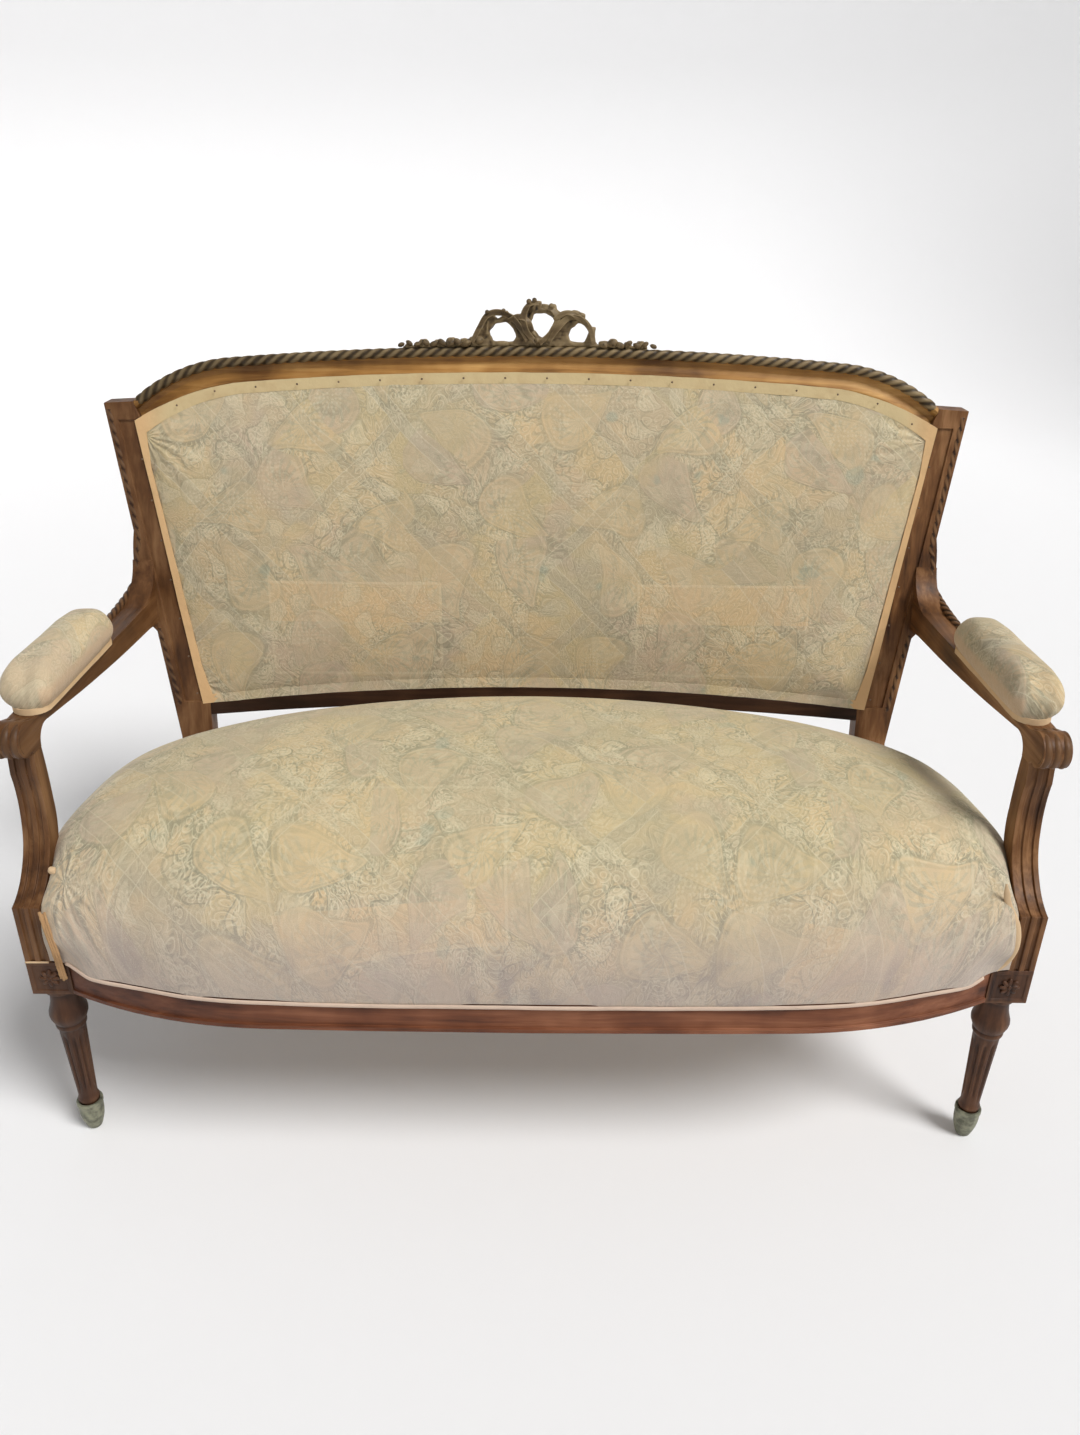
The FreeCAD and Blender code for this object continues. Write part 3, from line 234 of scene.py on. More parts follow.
# Camera at the photograph's viewing angle: the image is taken to be 1080 by 1435
view = {
    "imageHeight": 1435,
    "focalPixels": 1100,
    "sensor": 36.0,
    "place": (0.0077, legY - 1.1361, 1.2196),
    "pitch": 0.463909,
    "yaw": 0.001582,
    "roll": 0.010382,
}


def makeCamera():
    data = bpy.data.cameras.new("camera")
    data.sensor_fit = "VERTICAL"
    data.sensor_height = view["sensor"]
    data.lens = view["focalPixels"] / view["imageHeight"] * view["sensor"]
    camera = linked("camera", data)
    aim = Matrix.Rotation(-view["yaw"], 4, "Z") @ Matrix.Rotation(math.pi / 2 - view["pitch"], 4, "X")
    camera.matrix_world = Matrix.Translation(view["place"]) @ aim @ Matrix.Rotation(view["roll"], 4, "Z")
    scene.camera = camera


# Pale studio: a floor that curves up all round, one soft sun and an even sky
studio = {
    "floorColour": (0.80, 0.80, 0.805),
    "nearGlow": 0.018, "wallGlow": 0.062, "sideGlow": 0.26, "glowHeight": 1.6,
    "wallRadius": 6.5, "wallHeight": 4.2, "bendRadius": 1.8, "bendSteps": 14, "around": 96,
    "worldPower": 0.265,
    "sun": {"aim": (-0.55, 0.42, -0.85), "angle": 24.0, "power": 3.0, "colour": (1.0, 0.992, 0.985)},
    "fill": {"place": (-2.6, -2.6, 1.6), "target": (0, 0, 0.5), "size": 2.5, "power": 2},
}


def makeFloor():
    bend, radius, steps = studio["bendRadius"], studio["wallRadius"], studio["bendSteps"]
    profile = [(0.0, 0.0)]
    for step in range(steps + 1):
        angle = math.pi / 2 * step / steps
        profile.append((radius - bend + bend * math.sin(angle), bend - bend * math.cos(angle)))
    profile.append((radius, studio["wallHeight"]))
    bm = bmesh.new()
    spunShape(bm, profile, Vector((0, 0, 0)), studio["around"])
    bmesh.ops.remove_doubles(bm, verts=bm.verts, dist=0.0001)
    bmesh.ops.recalc_face_normals(bm, faces=bm.faces)
    smoothFaces(bm)
    mesh = bpy.data.meshes.new("studioFloor")
    bm.to_mesh(mesh)
    bm.free()
    floor = linked("studioFloor", mesh)
    material, inputs = newMaterial("paleFloor")
    inputs["Base Color"].default_value = (*studio["floorColour"], 1)
    inputs["Roughness"].default_value = 0.95
    inputs["Specular IOR Level"].default_value = 0.0
    x, _, z = parted(objectPlace())
    wall = studio["wallGlow"] - studio["nearGlow"] + x * (studio["sideGlow"] / radius)
    glow = studio["nearGlow"] + smooth(z, 0.0, studio["glowHeight"]) * wall
    Shade.put(inputs["Emission Color"], joined(glow, glow, glow))
    inputs["Emission Strength"].default_value = 1.0
    mesh.materials.append(material)


def turnedTo(way):
    return Vector(way).to_track_quat("-Z", "Y").to_euler()


def makeLights():
    world = bpy.data.worlds.new("studioWorld")
    world.use_nodes = True
    background = world.node_tree.nodes["Background"]
    background.inputs[0].default_value = (1, 1, 1, 1)
    background.inputs[1].default_value = studio["worldPower"]
    scene.world = world
    scene.view_settings.view_transform = "Standard"

    soft = studio["sun"]
    sun = bpy.data.lights.new("softSun", "SUN")
    sun.energy = soft["power"]
    sun.angle = math.radians(soft["angle"])
    sun.color = soft["colour"]
    linked("softSun", sun).rotation_euler = turnedTo(soft["aim"])

    fill = studio["fill"]
    data = bpy.data.lights.new("fillLight", "AREA")
    data.shape = "DISK"
    data.size = fill["size"]
    data.energy = fill["power"]
    lamp = linked("fillLight", data)
    lamp.location = fill["place"]
    lamp.rotation_euler = turnedTo(Vector(fill["target"]) - Vector(fill["place"]))


# Beech with a walnut stain and worn edges: dark, middle and light tones of each finish
woodTones = {
    "frame": ((0.042, 0.016, 0.005), (0.155, 0.066, 0.022), (0.330, 0.170, 0.072)),
    "rail": ((0.045, 0.012, 0.004), (0.160, 0.052, 0.021), (0.290, 0.115, 0.055)),
    "dark": ((0.010, 0.004, 0.001), (0.028, 0.010, 0.004), (0.060, 0.025, 0.010)),
    "golden": ((0.120, 0.050, 0.012), (0.350, 0.172, 0.045), (0.560, 0.320, 0.104)),
    "scallop": ((0.038, 0.016, 0.006), (0.115, 0.052, 0.020), (0.190, 0.100, 0.044)),
    "carved": ((0.040, 0.025, 0.011), (0.128, 0.085, 0.040), (0.265, 0.195, 0.100)),
    "leg": ((0.024, 0.009, 0.004), (0.095, 0.039, 0.017), (0.200, 0.096, 0.044)),
}
grainScale = {"across": 60.0, "along": 3.5}


# The grain runs along one axis: 0, 1 or 2 for X, Y or Z. A carved piece has its ridges and hollows in "relief",
# and gets painted highlights on its ridges and painted shade in its hollows
def makeWood(name, tone, along, carved=0.0):
    material, inputs = newMaterial(name)
    place = objectPlace()
    scale = [grainScale["across"]] * 3
    scale[along] = grainScale["along"]
    grain = noisy(stretched(place, scale), 1.0, 5.0, 0.62, 0.35)
    pores = noisy(stretched(place, [value * 5 for value in scale]), 1.0, 2.0, 0.5)
    blotch = noisy(place, 9.0, 3.0, 0.6)
    dark, middle, light = woodTones[tone]
    stops = [(0.38, dark), (0.53, middle), (0.70, light)]
    colour = made("ShaderNodeValToRGB", {"stops": stops}, Fac=grain * 0.6 + blotch * 0.45)
    if carved:
        # painted shade in the hollows and painted highlights on the ridges
        relief = Shade(Shade.add("ShaderNodeAttribute", {"attribute_name": "relief"}).outputs["Fac"])
        colour = mixed(smooth(relief, 0.52, 0.20) * (0.85 * carved), colour, toned(dark, 0.35))
        colour = mixed(smooth(relief, 0.55, 0.95) * (0.55 * carved), colour, toned(light, 1.25))
    paintedLeftShade = smooth(parted(place)[0], -0.10, -0.62) * 0.42  # painted shade: the wood is darker towards its left end
    Shade.put(inputs["Base Color"], mixed(paintedLeftShade, colour, dark))
    inputs["Specular IOR Level"].default_value = 0.26
    Shade.put(inputs["Roughness"], 0.50 + (pores - 0.5) * 0.25 + (blotch - 0.5) * 0.2)
    Shade.put(inputs["Normal"], bumped(grain * 0.6 + pores * 0.4, 0.25, 0.0006))
    return material


def makePlain(name, colour, roughness, metallic=0.0, spread=0.25, scale=60.0, bump=0.0):
    material, inputs = newMaterial(name)
    patches = noisy(objectPlace(), scale, 3.0, 0.6)
    light = tuple(min(1.0, value * (1 + spread)) for value in colour)
    Shade.put(inputs["Base Color"], mixed(smooth(patches, 0.3, 0.7), toned(colour, 1 - spread), light))
    inputs["Roughness"].default_value = roughness
    inputs["Metallic"].default_value = metallic
    if bump:
        Shade.put(inputs["Normal"], bumped(patches, 0.4, bump))
    return material


woods = {
    "frameY": makeWood("frameWoodY", "frame", 1),
    "frameZ": makeWood("frameWoodZ", "frame", 2),
    "rail": makeWood("railWoodX", "rail", 0),
    "dark": makeWood("darkWoodX", "dark", 0),
    "golden": makeWood("goldenWoodX", "golden", 0),
    "bead": makeWood("beadWood", "carved", 0, 0.85),
    "scallop": makeWood("scallopWood", "scallop", 2, 1.0),
    "crest": makeWood("crestWood", "carved", 0, 1.15),
    "leg": makeWood("legWood", "leg", 2, 0.55),
}


# Faded paisley print in patches: linear tones, its repeat in metres, then cloudy washes of a tone, each with
# where its noise is moved to, its scale, its low and high, and how strong it is
printed = {
    "sand": (0.580, 0.445, 0.260),
    "olive": (0.512, 0.408, 0.232),
    "grey": (0.392, 0.338, 0.240),
    "lavender": (0.450, 0.355, 0.285),
    "peach": (0.640, 0.450, 0.250),
    "ink": (0.235, 0.225, 0.155),
    "cream": (0.70, 0.63, 0.44),
    "teal": (0.10, 0.28, 0.27),
    "padSide": (0.56, 0.39, 0.25),
    # painted shade and painted light of the seat's front, and its low dark patches
    "paintedFrontShade": (0.415, 0.340, 0.325),
    "frontSun": (0.52, 0.45, 0.22),
    "lowDarkPatches": (0.23, 0.20, 0.21),
    "repeat": 0.575,
    "washes": [
        ("lavender", 3.0, 0.0, 5.5, 0.52, 0.66, 0.55),
        ("grey", 0.0, 6.0, 7.5, 0.55, 0.66, 0.50),
        ("peach", 6.0, 1.0, 6.5, 0.50, 0.62, 0.40),
    ],
}


# Cells scattered over the cloth: place from each cell's middle, turned by chance, and its own random number
def scattered(place, scale):
    node = cellNode(place, scale, 0.85)
    red, green, _ = parted(Shade(node.outputs["Color"]))
    middle = Shade(node.outputs["Position"])
    x, y, _ = parted(made("ShaderNodeVectorMath", {"operation": "SUBTRACT"}, _0=place, _1=middle))
    along = Shade.maths("COSINE", red * 6.2832)
    across = sine(red * 6.2832)
    return (x * along - y * across) * scale, (x * across + y * along) * scale, green


# Paisley drops with a bent tip: reach is 1 on the outline
def drops(place, scale, slim, rings, rays):
    x, y, number = scattered(place, scale)
    bent = x + (y + 0.12) * (y + 0.12) * 0.9
    width = Shade.maths("MAXIMUM", 0.30 * slim - y * 0.34 * slim, 0.04)
    reach = Shade.maths("SQRT", (bent / width) * (bent / width) + (y * 2.0) * (y * 2.0))
    around = Shade.maths("ARCTAN2", y, bent)
    inside = 1.0 - smooth(reach, 0.95, 1.0)
    return {
        "inside": inside,
        "outline": 1.0 - smooth(unsigned(reach - 1.0), 0.03, 0.09),
        "inner": lines(reach * rings, 0.16) * inside,
        "fringe": smooth(sine(around * rays), 0.1, 0.8) * smooth(reach, 1.04, 1.10) * (reach < 1.38),
        "petals": smooth(sine(around * (rays * 0.5) + reach * 6.0), 0.1, 0.8) * (reach < 0.70),
        "number": number,
    }


# Creases that run out from each pinched place: u, v, how far they reach, how many there are
def pinchCreases(u, v, pinches):
    total = 0.0
    for middleU, middleV, reach, count in pinches:
        x, y = u - middleU, v - middleV
        away = Shade.maths("SQRT", x * x + y * y)
        wander = noisy(joined(u, v), 30.0, 2.0, 0.5, flat=True) * 7.0
        ray = sine(Shade.maths("ARCTAN2", y, x) * count + wander)
        total = ray * smooth(away, reach, reach * 0.25) * smooth(away, 0.0, 0.010) + total
    return total


# Patches on a lattice at 45 degrees, some of its strips framed by light lines
def lattice(u, v, wave):
    a = (u + v + wave) * (4.0 / printed["repeat"])
    b = (u - v + wave) * (4.0 / printed["repeat"])
    cellA, cellB = floored(a) % 4.0, floored(b) % 4.0
    stripA = (fraction(a) < 0.20) * (chance(joined(cellA, floored(cellB * 0.5))) > 0.50)
    stripB = (fraction(b) < 0.20) * (chance(joined(cellB + 7.0, floored(cellA * 0.5))) > 0.55)
    edgeA = (lines(a, 0.016) + lines(a - 0.20, 0.016)) * (stripA + 0.06)
    edgeB = (lines(b, 0.016) + lines(b - 0.20, 0.016)) * (stripB + 0.06)
    return chance(joined(cellA, cellB)), Shade.maths("MAXIMUM", stripA, stripB), clamp01(edgeA + edgeB)


# The covers' cloth. A panel has its left, right, low and high, then the low and high of a peach band
def makePaisley(name, panels=(), front=False, pinches=(), peachSide=False):
    material, inputs = newMaterial(name)
    cloth = made("ShaderNodeUVMap", {"uv_map": "cloth"})
    u, v, _ = parted(cloth)
    swayU = noisy(cloth, 7.0, 2.0, 0.55, flat=True) - 0.5
    swayV = noisy(joined(u + 4.0, v), 7.0, 2.0, 0.55, flat=True) - 0.5
    wrapped = (u + 0.2) % printed["repeat"]
    swirled = joined(wrapped + swayU * 0.09, v + swayV * 0.09)

    # The ground: cloudy tones, the lattice's patches and strips, then the panels
    patch, strip, edges = lattice(u, v, swayU * 0.03)
    ground = mixed(smooth(noisy(cloth, 4.5, 3.0, 0.6, flat=True), 0.42, 0.58), printed["olive"], printed["sand"])
    ground = mixed((patch > 0.70) * 0.42, ground, printed["grey"])
    ground = mixed((patch < 0.22) * 0.40, ground, printed["lavender"])
    for tone, moveU, moveV, scale, low, high, share in printed["washes"]:
        wash = noisy(joined(u + moveU, v + moveV), scale, 3.0, 0.6, flat=True)
        ground = mixed(smooth(wash, low, high) * share, ground, printed[tone])
    ground = mixed(strip * 0.46, ground, printed["grey"])
    rim = quiet = 0.0
    for left, right, low, high, bandLow, bandHigh in panels:
        whole = (u > left) * (u < right) * (v > low) * (v < high)
        inner = (u > left + 0.004) * (u < right - 0.004) * (v > low + 0.004) * (v < high - 0.004)
        band = whole * (v > bandLow) * (v < bandHigh)
        quiet = band * 0.65 + quiet
        rim = whole - inner + rim
        ground = mixed(whole * 0.14 + band * 0.52, ground, printed["peach"])

    # The figures: large and small drops with curls between them, worn away in places
    large = drops(joined(wrapped + swayU * 0.03, v + swayV * 0.03), 8.5, 1.0, 2.4, 32.0)
    small = drops(joined(u + swayV * 0.06 + 2.0, v + swayU * 0.06), 21.0, 0.9, 1.8, 18.0)
    ground = mixed(small["inside"] * 0.30, ground, mixed(small["number"], printed["cream"], printed["grey"]))
    largeTone = mixed(smooth(large["number"], 0.3, 0.7), printed["sand"], printed["lavender"])
    ground = mixed(large["inside"] * 0.36, ground, largeTone)
    uncovered = 1.0 - large["inside"]
    curl = cells(swirled, 55.0, 0.9)
    blurred = smooth(noisy(swirled, 60.0, 3.0, 0.7, 1.2, flat=True), 0.50, 0.62)
    mottled = 1.0 - smooth(noisy(swirled, 34.0, 4.0, 0.72, 0.6, flat=True), 0.38, 0.52)
    smallDark = small["outline"] * 0.9 + small["inner"] * 0.5 + small["fringe"] * 0.5 + lines(curl * 3.0, 0.20) * 0.34
    smallLight = lines(curl * 3.0 + 0.33, 0.14) * 0.6 + small["petals"] * 0.7
    dark = clamp01(large["outline"] * 0.75 + large["inner"] * 0.35 + large["petals"] * 0.6
                   + large["fringe"] * 0.6 + mottled * 0.45 + uncovered * smallDark)
    light = clamp01(uncovered * smallLight + large["petals"] * 0.3 + blurred * 0.45)
    worn = smooth(noisy(cloth, 9.0, 3.0, 0.65, flat=True), 0.34, 0.62) * (1.0 - quiet)
    contrast = 1.35 if front else 1.0
    colour = mixed(dark * (0.19 + worn * 0.45) * contrast, ground, printed["ink"])
    colour = mixed(light * (0.17 + worn * 0.33) * contrast, colour, printed["cream"])
    colour = mixed(clamp01(edges * 0.36 + rim * 0.20), colour, printed["cream"])
    beads = 1.0 - smooth(cells(joined(u, v), 150.0, 0.5), 0.20, 0.34)
    beads = beads * smooth(noisy(cloth, 14.0, flat=True), 0.57, 0.63)
    colour = mixed(beads * 0.22, colour, printed["cream"])
    spots = smooth(noisy(joined(u + 9.0, v + 2.0), 13.0, 2.0, 0.5, flat=True), 0.72, 0.77)
    colour = mixed(spots * 0.22, colour, printed["teal"])

    # Peach cloth low on the pads' inner sides, and the seat's front: painted shade in a lavender tone towards its
    # bottom, painted light in an olive tone towards the seat's top, and dark cloudy patches low on the front
    if peachSide:
        x, _, z = parted(objectPlace())
        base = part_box("arm_pad_covers")[0].z
        side = smooth(unsigned(x), 0.6045, 0.5985) * smooth(z, base + 0.040, base + 0.030)
        colour = mixed(side * 0.72, colour, printed["padSide"])
    if front:
        height = parted(objectPlace())[2]
        # painted shade towards the bottom of the seat's front
        colour = mixed((1.0 - smooth(height, 0.31, 0.48)) * 0.62, colour, printed["paintedFrontShade"])
        # painted light towards the seat's top
        colour = mixed(smooth(height, 0.42, 0.52) * 0.22, colour, printed["frontSun"])
        lowDarkPatches = smooth(noisy(joined(u + 2.0, v + 5.0), 9.0, 3.0, 0.6, flat=True), 0.50, 0.62)
        colour = mixed(lowDarkPatches * (1.0 - smooth(height, 0.33, 0.42)) * 0.38, colour, printed["lowDarkPatches"])
    thread = noisy(cloth, 1100.0, 1.0, 0.5, flat=True)
    weave = sine(u * 5200.0) * sine(v * 5200.0)
    Shade.put(inputs["Base Color"], mixed(clamp01((thread - 0.45) * 0.8), colour, printed["cream"]))
    inputs["Roughness"].default_value = 0.92
    inputs["Specular IOR Level"].default_value = 0.12
    inputs["Sheen Weight"].default_value = 0.15
    inputs["Sheen Roughness"].default_value = 0.5
    creases = noisy(stretched(cloth, (1.0, 3.0, 1.0), (0, 0, 0.6)), 16.0, 4.0, 0.6, flat=True)
    relief = light * 0.35 - dark * 0.35 + weave * 0.08 + thread * 0.2 + creases * 1.3
    if pinches:
        relief = relief + pinchCreases(u, v, pinches) * 1.6
    Shade.put(inputs["Normal"], bumped(relief, 0.40, 0.0016))
    return material


# Cloth tapes that hide the tacking: one tone at the sides, and another along the top if it is given
def makeTape(name, sideTone, topTone=None):
    material, inputs = newMaterial(name)
    place = objectPlace()
    x, _, z = parted(place)
    corner = smooth(z, backPlane["z"] + 0.46, backPlane["z"] + 0.40) * smooth(unsigned(x), 0.50, 0.52)
    colour = mixed(smooth(unsigned(x), 0.545, 0.60) + corner, topTone or sideTone, sideTone)
    stain = smooth(noisy(place, 26.0, 3.0, 0.6), 0.45, 0.75)
    Shade.put(inputs["Base Color"], mixed(stain * 0.35, colour, toned(sideTone, 0.68)))
    inputs["Roughness"].default_value = 0.9
    inputs["Specular IOR Level"].default_value = 0.12
    folds = noisy(place, 900.0, 1.0) * 0.12 + noisy(place, 55.0, 3.0, 0.6) * 1.2
    Shade.put(inputs["Normal"], bumped(folds, 0.5, 0.0022))
    return material


def smoothFaces(bm):
    for face in bm.faces:
        face.smooth = True


def shadeByAngle(bm, degrees):
    limit = math.radians(degrees)
    smoothFaces(bm)
    for edge in bm.edges:
        edge.smooth = len(edge.link_faces) == 2 and edge.calc_face_angle(0.0) < limit


def relaxed(bm):
    bmesh.ops.smooth_vert(bm, verts=bm.verts, factor=0.5, use_axis_x=True, use_axis_y=True, use_axis_z=True)


# Ridges get a high relief value and hollows a low one, from how the neighbouring points lie; the wood's
# painted highlights follow the high values and its painted shade the low ones
def markRelief(bm, gain, passes):
    layer = bm.verts.layers.float.new("relief")
    bm.normal_update()
    for vert in bm.verts:
        edges = vert.link_edges
        lift = sum(vert.normal.dot((edge.other_vert(vert).co - vert.co).normalized()) for edge in edges)
        vert[layer] = min(1.0, max(0.0, 0.5 - gain * lift / max(1, len(edges))))
    for _ in range(passes):
        values = {vert: sum(edge.other_vert(vert)[layer] for edge in vert.link_edges) / max(1, len(vert.link_edges))
                  for vert in bm.verts}
        for vert, value in values.items():
            vert[layer] = (vert[layer] + value) / 2


def finishMesh(bm, name, material, replaced=()):
    mesh = bpy.data.meshes.new(name)
    bm.to_mesh(mesh)
    bm.free()
    mesh.materials.append(material)
    piece = linked(name, mesh)
    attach(piece, "root")
    if replaced:
        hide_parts(*replaced)
    return piece


def wornEdges(piece, width, degrees):
    bevel = piece.modifiers.new("wornEdges", "BEVEL")
    bevel.width = width
    bevel.segments = 2
    bevel.limit_method = "ANGLE"
    bevel.angle_limit = math.radians(degrees)
    return bevel


def plainName(node):
    words = node.split("_")
    return words[0] + "".join(word.capitalize() for word in words[1:])


# A frame piece keeps the shape it has in the model, with its edges rounded by wear
def wornCopy(node, material, width=0.0):
    bm = bmesh.new()
    bm.from_mesh(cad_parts[node].data)
    bmesh.ops.remove_doubles(bm, verts=bm.verts, dist=0.00002)
    if "support" not in node:
        bmesh.ops.dissolve_limit(bm, angle_limit=math.radians(0.6), verts=bm.verts, edges=bm.edges)
    shadeByAngle(bm, 28)
    piece = finishMesh(bm, plainName(node), material, [node])
    if width:
        wornEdges(piece, width, 28).harden_normals = True
    return piece


# Each frame piece's wood and how far its edges are worn
framePieces = {
    "front_rail": ("rail", 0.0012),
    "side_rail_left": ("frameY", 0.0012),
    "side_rail_right": ("frameY", 0.0012),
    "back_post_left": ("frameZ", 0.0014),
    "back_post_right": ("frameZ", 0.0014),
    "top_rail": ("golden", 0.0009),
    "lower_back_rail": ("dark", 0.0012),
    "arm_support_left": ("frameZ", 0.0010),
    "arm_support_right": ("frameZ", 0.0010),
    "arm_left": ("frameY", 0.0016),
    "arm_right": ("frameY", 0.0016),
}


def makeFrame():
    for node, (kind, width) in framePieces.items():
        wornCopy(node, woods[kind], width)


# Evenly spaced places along a smooth line through the points
def walked(points, step):
    points = [Vector(point) for point in points]
    dense = []
    for number in range(len(points) - 1):
        before = points[max(number - 1, 0)]
        start, end = points[number], points[number + 1]
        after = points[min(number + 2, len(points) - 1)]
        for part in range(16):
            t = part / 16
            dense.append(0.5 * (2 * start + (end - before) * t + (2 * before - 5 * start + 4 * end - after) * t**2
                                + (3 * start - before - 3 * end + after) * t**3))
    dense.append(points[-1])
    places = [dense[0]]
    left = step
    for here, there in zip(dense, dense[1:]):
        length = (there - here).length
        gone = 0.0
        while length - gone >= left:
            gone += left
            places.append(here.lerp(there, gone / length))
            left = step
        left -= length - gone
    return places


# Turns round a full circle, and an oval section made with them
def turnsOf(count):
    return [math.pi * 2 * spot / count for spot in range(count)]


def oval(wide, thick, count):
    return [(wide * math.cos(turn), thick * math.sin(turn)) for turn in turnsOf(count)]


# A closed section drawn along places: section(number) gives its points across and up, and their relief
def drawnAlong(bm, places, up, section):
    layer = bm.verts.layers.float.get("relief") or bm.verts.layers.float.new("relief")
    ring = None
    last = len(places) - 1
    for number, place in enumerate(places):
        ahead = (places[min(number + 1, last)] - places[max(number - 1, 0)]).normalized()
        upward = up(number) if callable(up) else up
        across = ahead.cross(upward).normalized()
        upward = across.cross(ahead).normalized()
        points = [(place + across * spot[0] + upward * spot[1], spot[2] if len(spot) > 2 else 0.5)
                  for spot in section(number)]
        if ring is None:
            ring = bmesh.ops.create_circle(bm, cap_ends=False, segments=len(points), radius=0.001)["verts"]
            edges = first = [edge for edge in bm.edges if edge.verts[0] in ring and edge.verts[1] in ring]
        else:
            grown = bmesh.ops.extrude_edge_only(bm, edges=edges)["geom"]
            fresh = {item for item in grown if isinstance(item, bmesh.types.BMVert)}
            edges = [item for item in grown if isinstance(item, bmesh.types.BMEdge)]
            ring = [next(edge.other_vert(vert) for edge in vert.link_edges if edge.other_vert(vert) in fresh)
                    for vert in ring]
        for vert, (point, relief) in zip(ring, points):
            vert.co = point
            vert[layer] = relief
    bmesh.ops.holes_fill(bm, edges=first, sides=0)
    bmesh.ops.holes_fill(bm, edges=edges, sides=0)


# The top rail's outer edge: a long shallow arc, then shoulders down to its joints with the stiles
crown = {"radius": 5.386, "rise": 0.611, "shoulderX": 0.435, "shoulderRadius": 0.264}
crown["turn"] = math.asin(crown["shoulderX"] / (crown["radius"] - crown["shoulderRadius"]))
crown["centre"] = crown["rise"] - crown["radius"]
crown["shoulderRise"] = crown["centre"] + (crown["radius"] - crown["shoulderRadius"]) * math.cos(crown["turn"])
topJoint = ((0.605, 0.528), (0.587, 0.482))


# Line along the top rail, a given way in from its outer edge, from joint to joint
def crownLine(inward, out):
    half = []
    steps = 40
    reach = crown["radius"] - inward
    for number in range(steps + 1):
        angle = crown["turn"] * number / steps
        half.append((reach * math.sin(angle), crown["centre"] + reach * math.cos(angle)))
    (ax, ar), (bx, br) = topJoint
    angle = crown["turn"]
    reach = crown["shoulderRadius"] - inward
    while angle < math.radians(60):
        angle += math.radians(0.8)
        x = crown["shoulderX"] + reach * math.sin(angle)
        rise = crown["shoulderRise"] + reach * math.cos(angle)
        if (x - bx) * (ar - br) - (rise - br) * (ax - bx) > 0:
            break
        half.append((x, rise))
    line = [(-x, rise) for x, rise in reversed(half[1:])] + half
    return [onBack(x, rise, out) for x, rise in line]


# Twisted ribbon bead: three lobes that turn about the middle line. Along the stile it runs from the ear to the
# waist, then forward along the arm to its pad; a second length goes down from the arm
ribbonBead = {
    "radius": 0.0075, "sideRadius": 0.0062, "lobes": 3, "stroke": 0.0178, "step": 0.0022, "points": 18,
    "valley": 0.25, "inward": 0.0068, "out": -0.0056, "sideOut": -0.0045,
    "stile": [(0.6425, 0.521), (0.6170, 0.340), (0.6205, 0.300), (0.6225, 0.268)],
    "arm": [(0.629, 0.262, 0.630), (0.634, 0.225, 0.6165), (0.6345, 0.150, 0.6105), (0.6355, 0.075, 0.6100)],
    "lower": [(0.5975, 0.186), (0.5870, 0.130), (0.5720, 0.048)],
}


def beadSection(radius, length, fade):
    turn = length / (ribbonBead["stroke"] * ribbonBead["lobes"]) * 2 * math.pi
    points = []
    for angle in turnsOf(ribbonBead["points"]):
        lobe = abs(math.cos(ribbonBead["lobes"] / 2 * (angle - turn)))
        reach = radius * fade * (1 - ribbonBead["valley"] * (1 - lobe) ** 1.3)
        # the lobes' tops get high relief values for painted highlights, the valleys low ones for painted shade
        points.append((reach * math.cos(angle), reach * math.sin(angle), lobe ** 1.5))
    return points


def addBead(bm, points, radius):
    places = walked(points, ribbonBead["step"])
    last = len(places) - 1
    drawnAlong(bm, places, outWay, lambda number: beadSection(
        radius, number * ribbonBead["step"], min(1.0, 0.35 + 0.25 * min(number, last - number))))


def makeBeads():
    bm = bmesh.new()
    addBead(bm, crownLine(ribbonBead["inward"], ribbonBead["out"]), ribbonBead["radius"])
    shadeByAngle(bm, 60)
    finishMesh(bm, "ribbonBead", woods["bead"])
    bm = bmesh.new()
    for side in (-1, 1):
        stile, lower = [[onBack(side * x, rise, ribbonBead["sideOut"]) for x, rise in ribbonBead[run]]
                        for run in ("stile", "lower")]
        arm = [Vector((side * x, y, z)) for x, y, z in ribbonBead["arm"]]
        addBead(bm, stile + arm, ribbonBead["sideRadius"])
        addBead(bm, lower, ribbonBead["sideRadius"])
    shadeByAngle(bm, 60)
    finishMesh(bm, "stileBeads", woods["scallop"])


# Thin raised line between the top rail's cove and its cover
fillet = {"inward": 0.0362, "out": -0.0028, "half": 0.0019, "low": -0.001, "shoulder": 0.0008, "top": 0.0013}


def makeFillet():
    bm = bmesh.new()
    half, low, shoulder, top = fillet["half"], fillet["low"], fillet["shoulder"], fillet["top"]
    section = [(-half, low), (half, low), (half, shoulder), (half * 0.5, top), (-half * 0.5, top), (-half, shoulder)]
    drawnAlong(bm, walked(crownLine(fillet["inward"], fillet["out"]), 0.012), outWay, lambda number: section)
    shadeByAngle(bm, 40)
    finishMesh(bm, "topFillet", woods["golden"])


# Padded pieces: the model's solids are remeshed into one skin, blown up a little as cloth, and held back
# from the wood around them
def skinOf(nodes, voxel, extra=None, smoothing=6):
    bm = bmesh.new()
    for node in nodes:
        bm.from_mesh(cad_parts[node].data)
    if extra:
        extra(bm)
    mesh = bpy.data.meshes.new("rawSkin")
    bm.to_mesh(mesh)
    bm.free()
    raw = linked("rawSkin", mesh)
    remesh = raw.modifiers.new("evenFaces", "REMESH")
    remesh.mode = "VOXEL"
    remesh.voxel_size = voxel
    skin = bpy.data.meshes.new_from_object(raw.evaluated_get(bpy.context.evaluated_depsgraph_get()))
    bpy.data.objects.remove(raw)
    bm = bmesh.new()
    bm.from_mesh(skin)
    for _ in range(smoothing):
        relaxed(bm)
    bm.to_mesh(skin)
    bm.free()
    return skin


def treeOf(mesh):
    return BVHTree.FromPolygons([vert.co for vert in mesh.vertices], [list(face.vertices) for face in mesh.polygons])


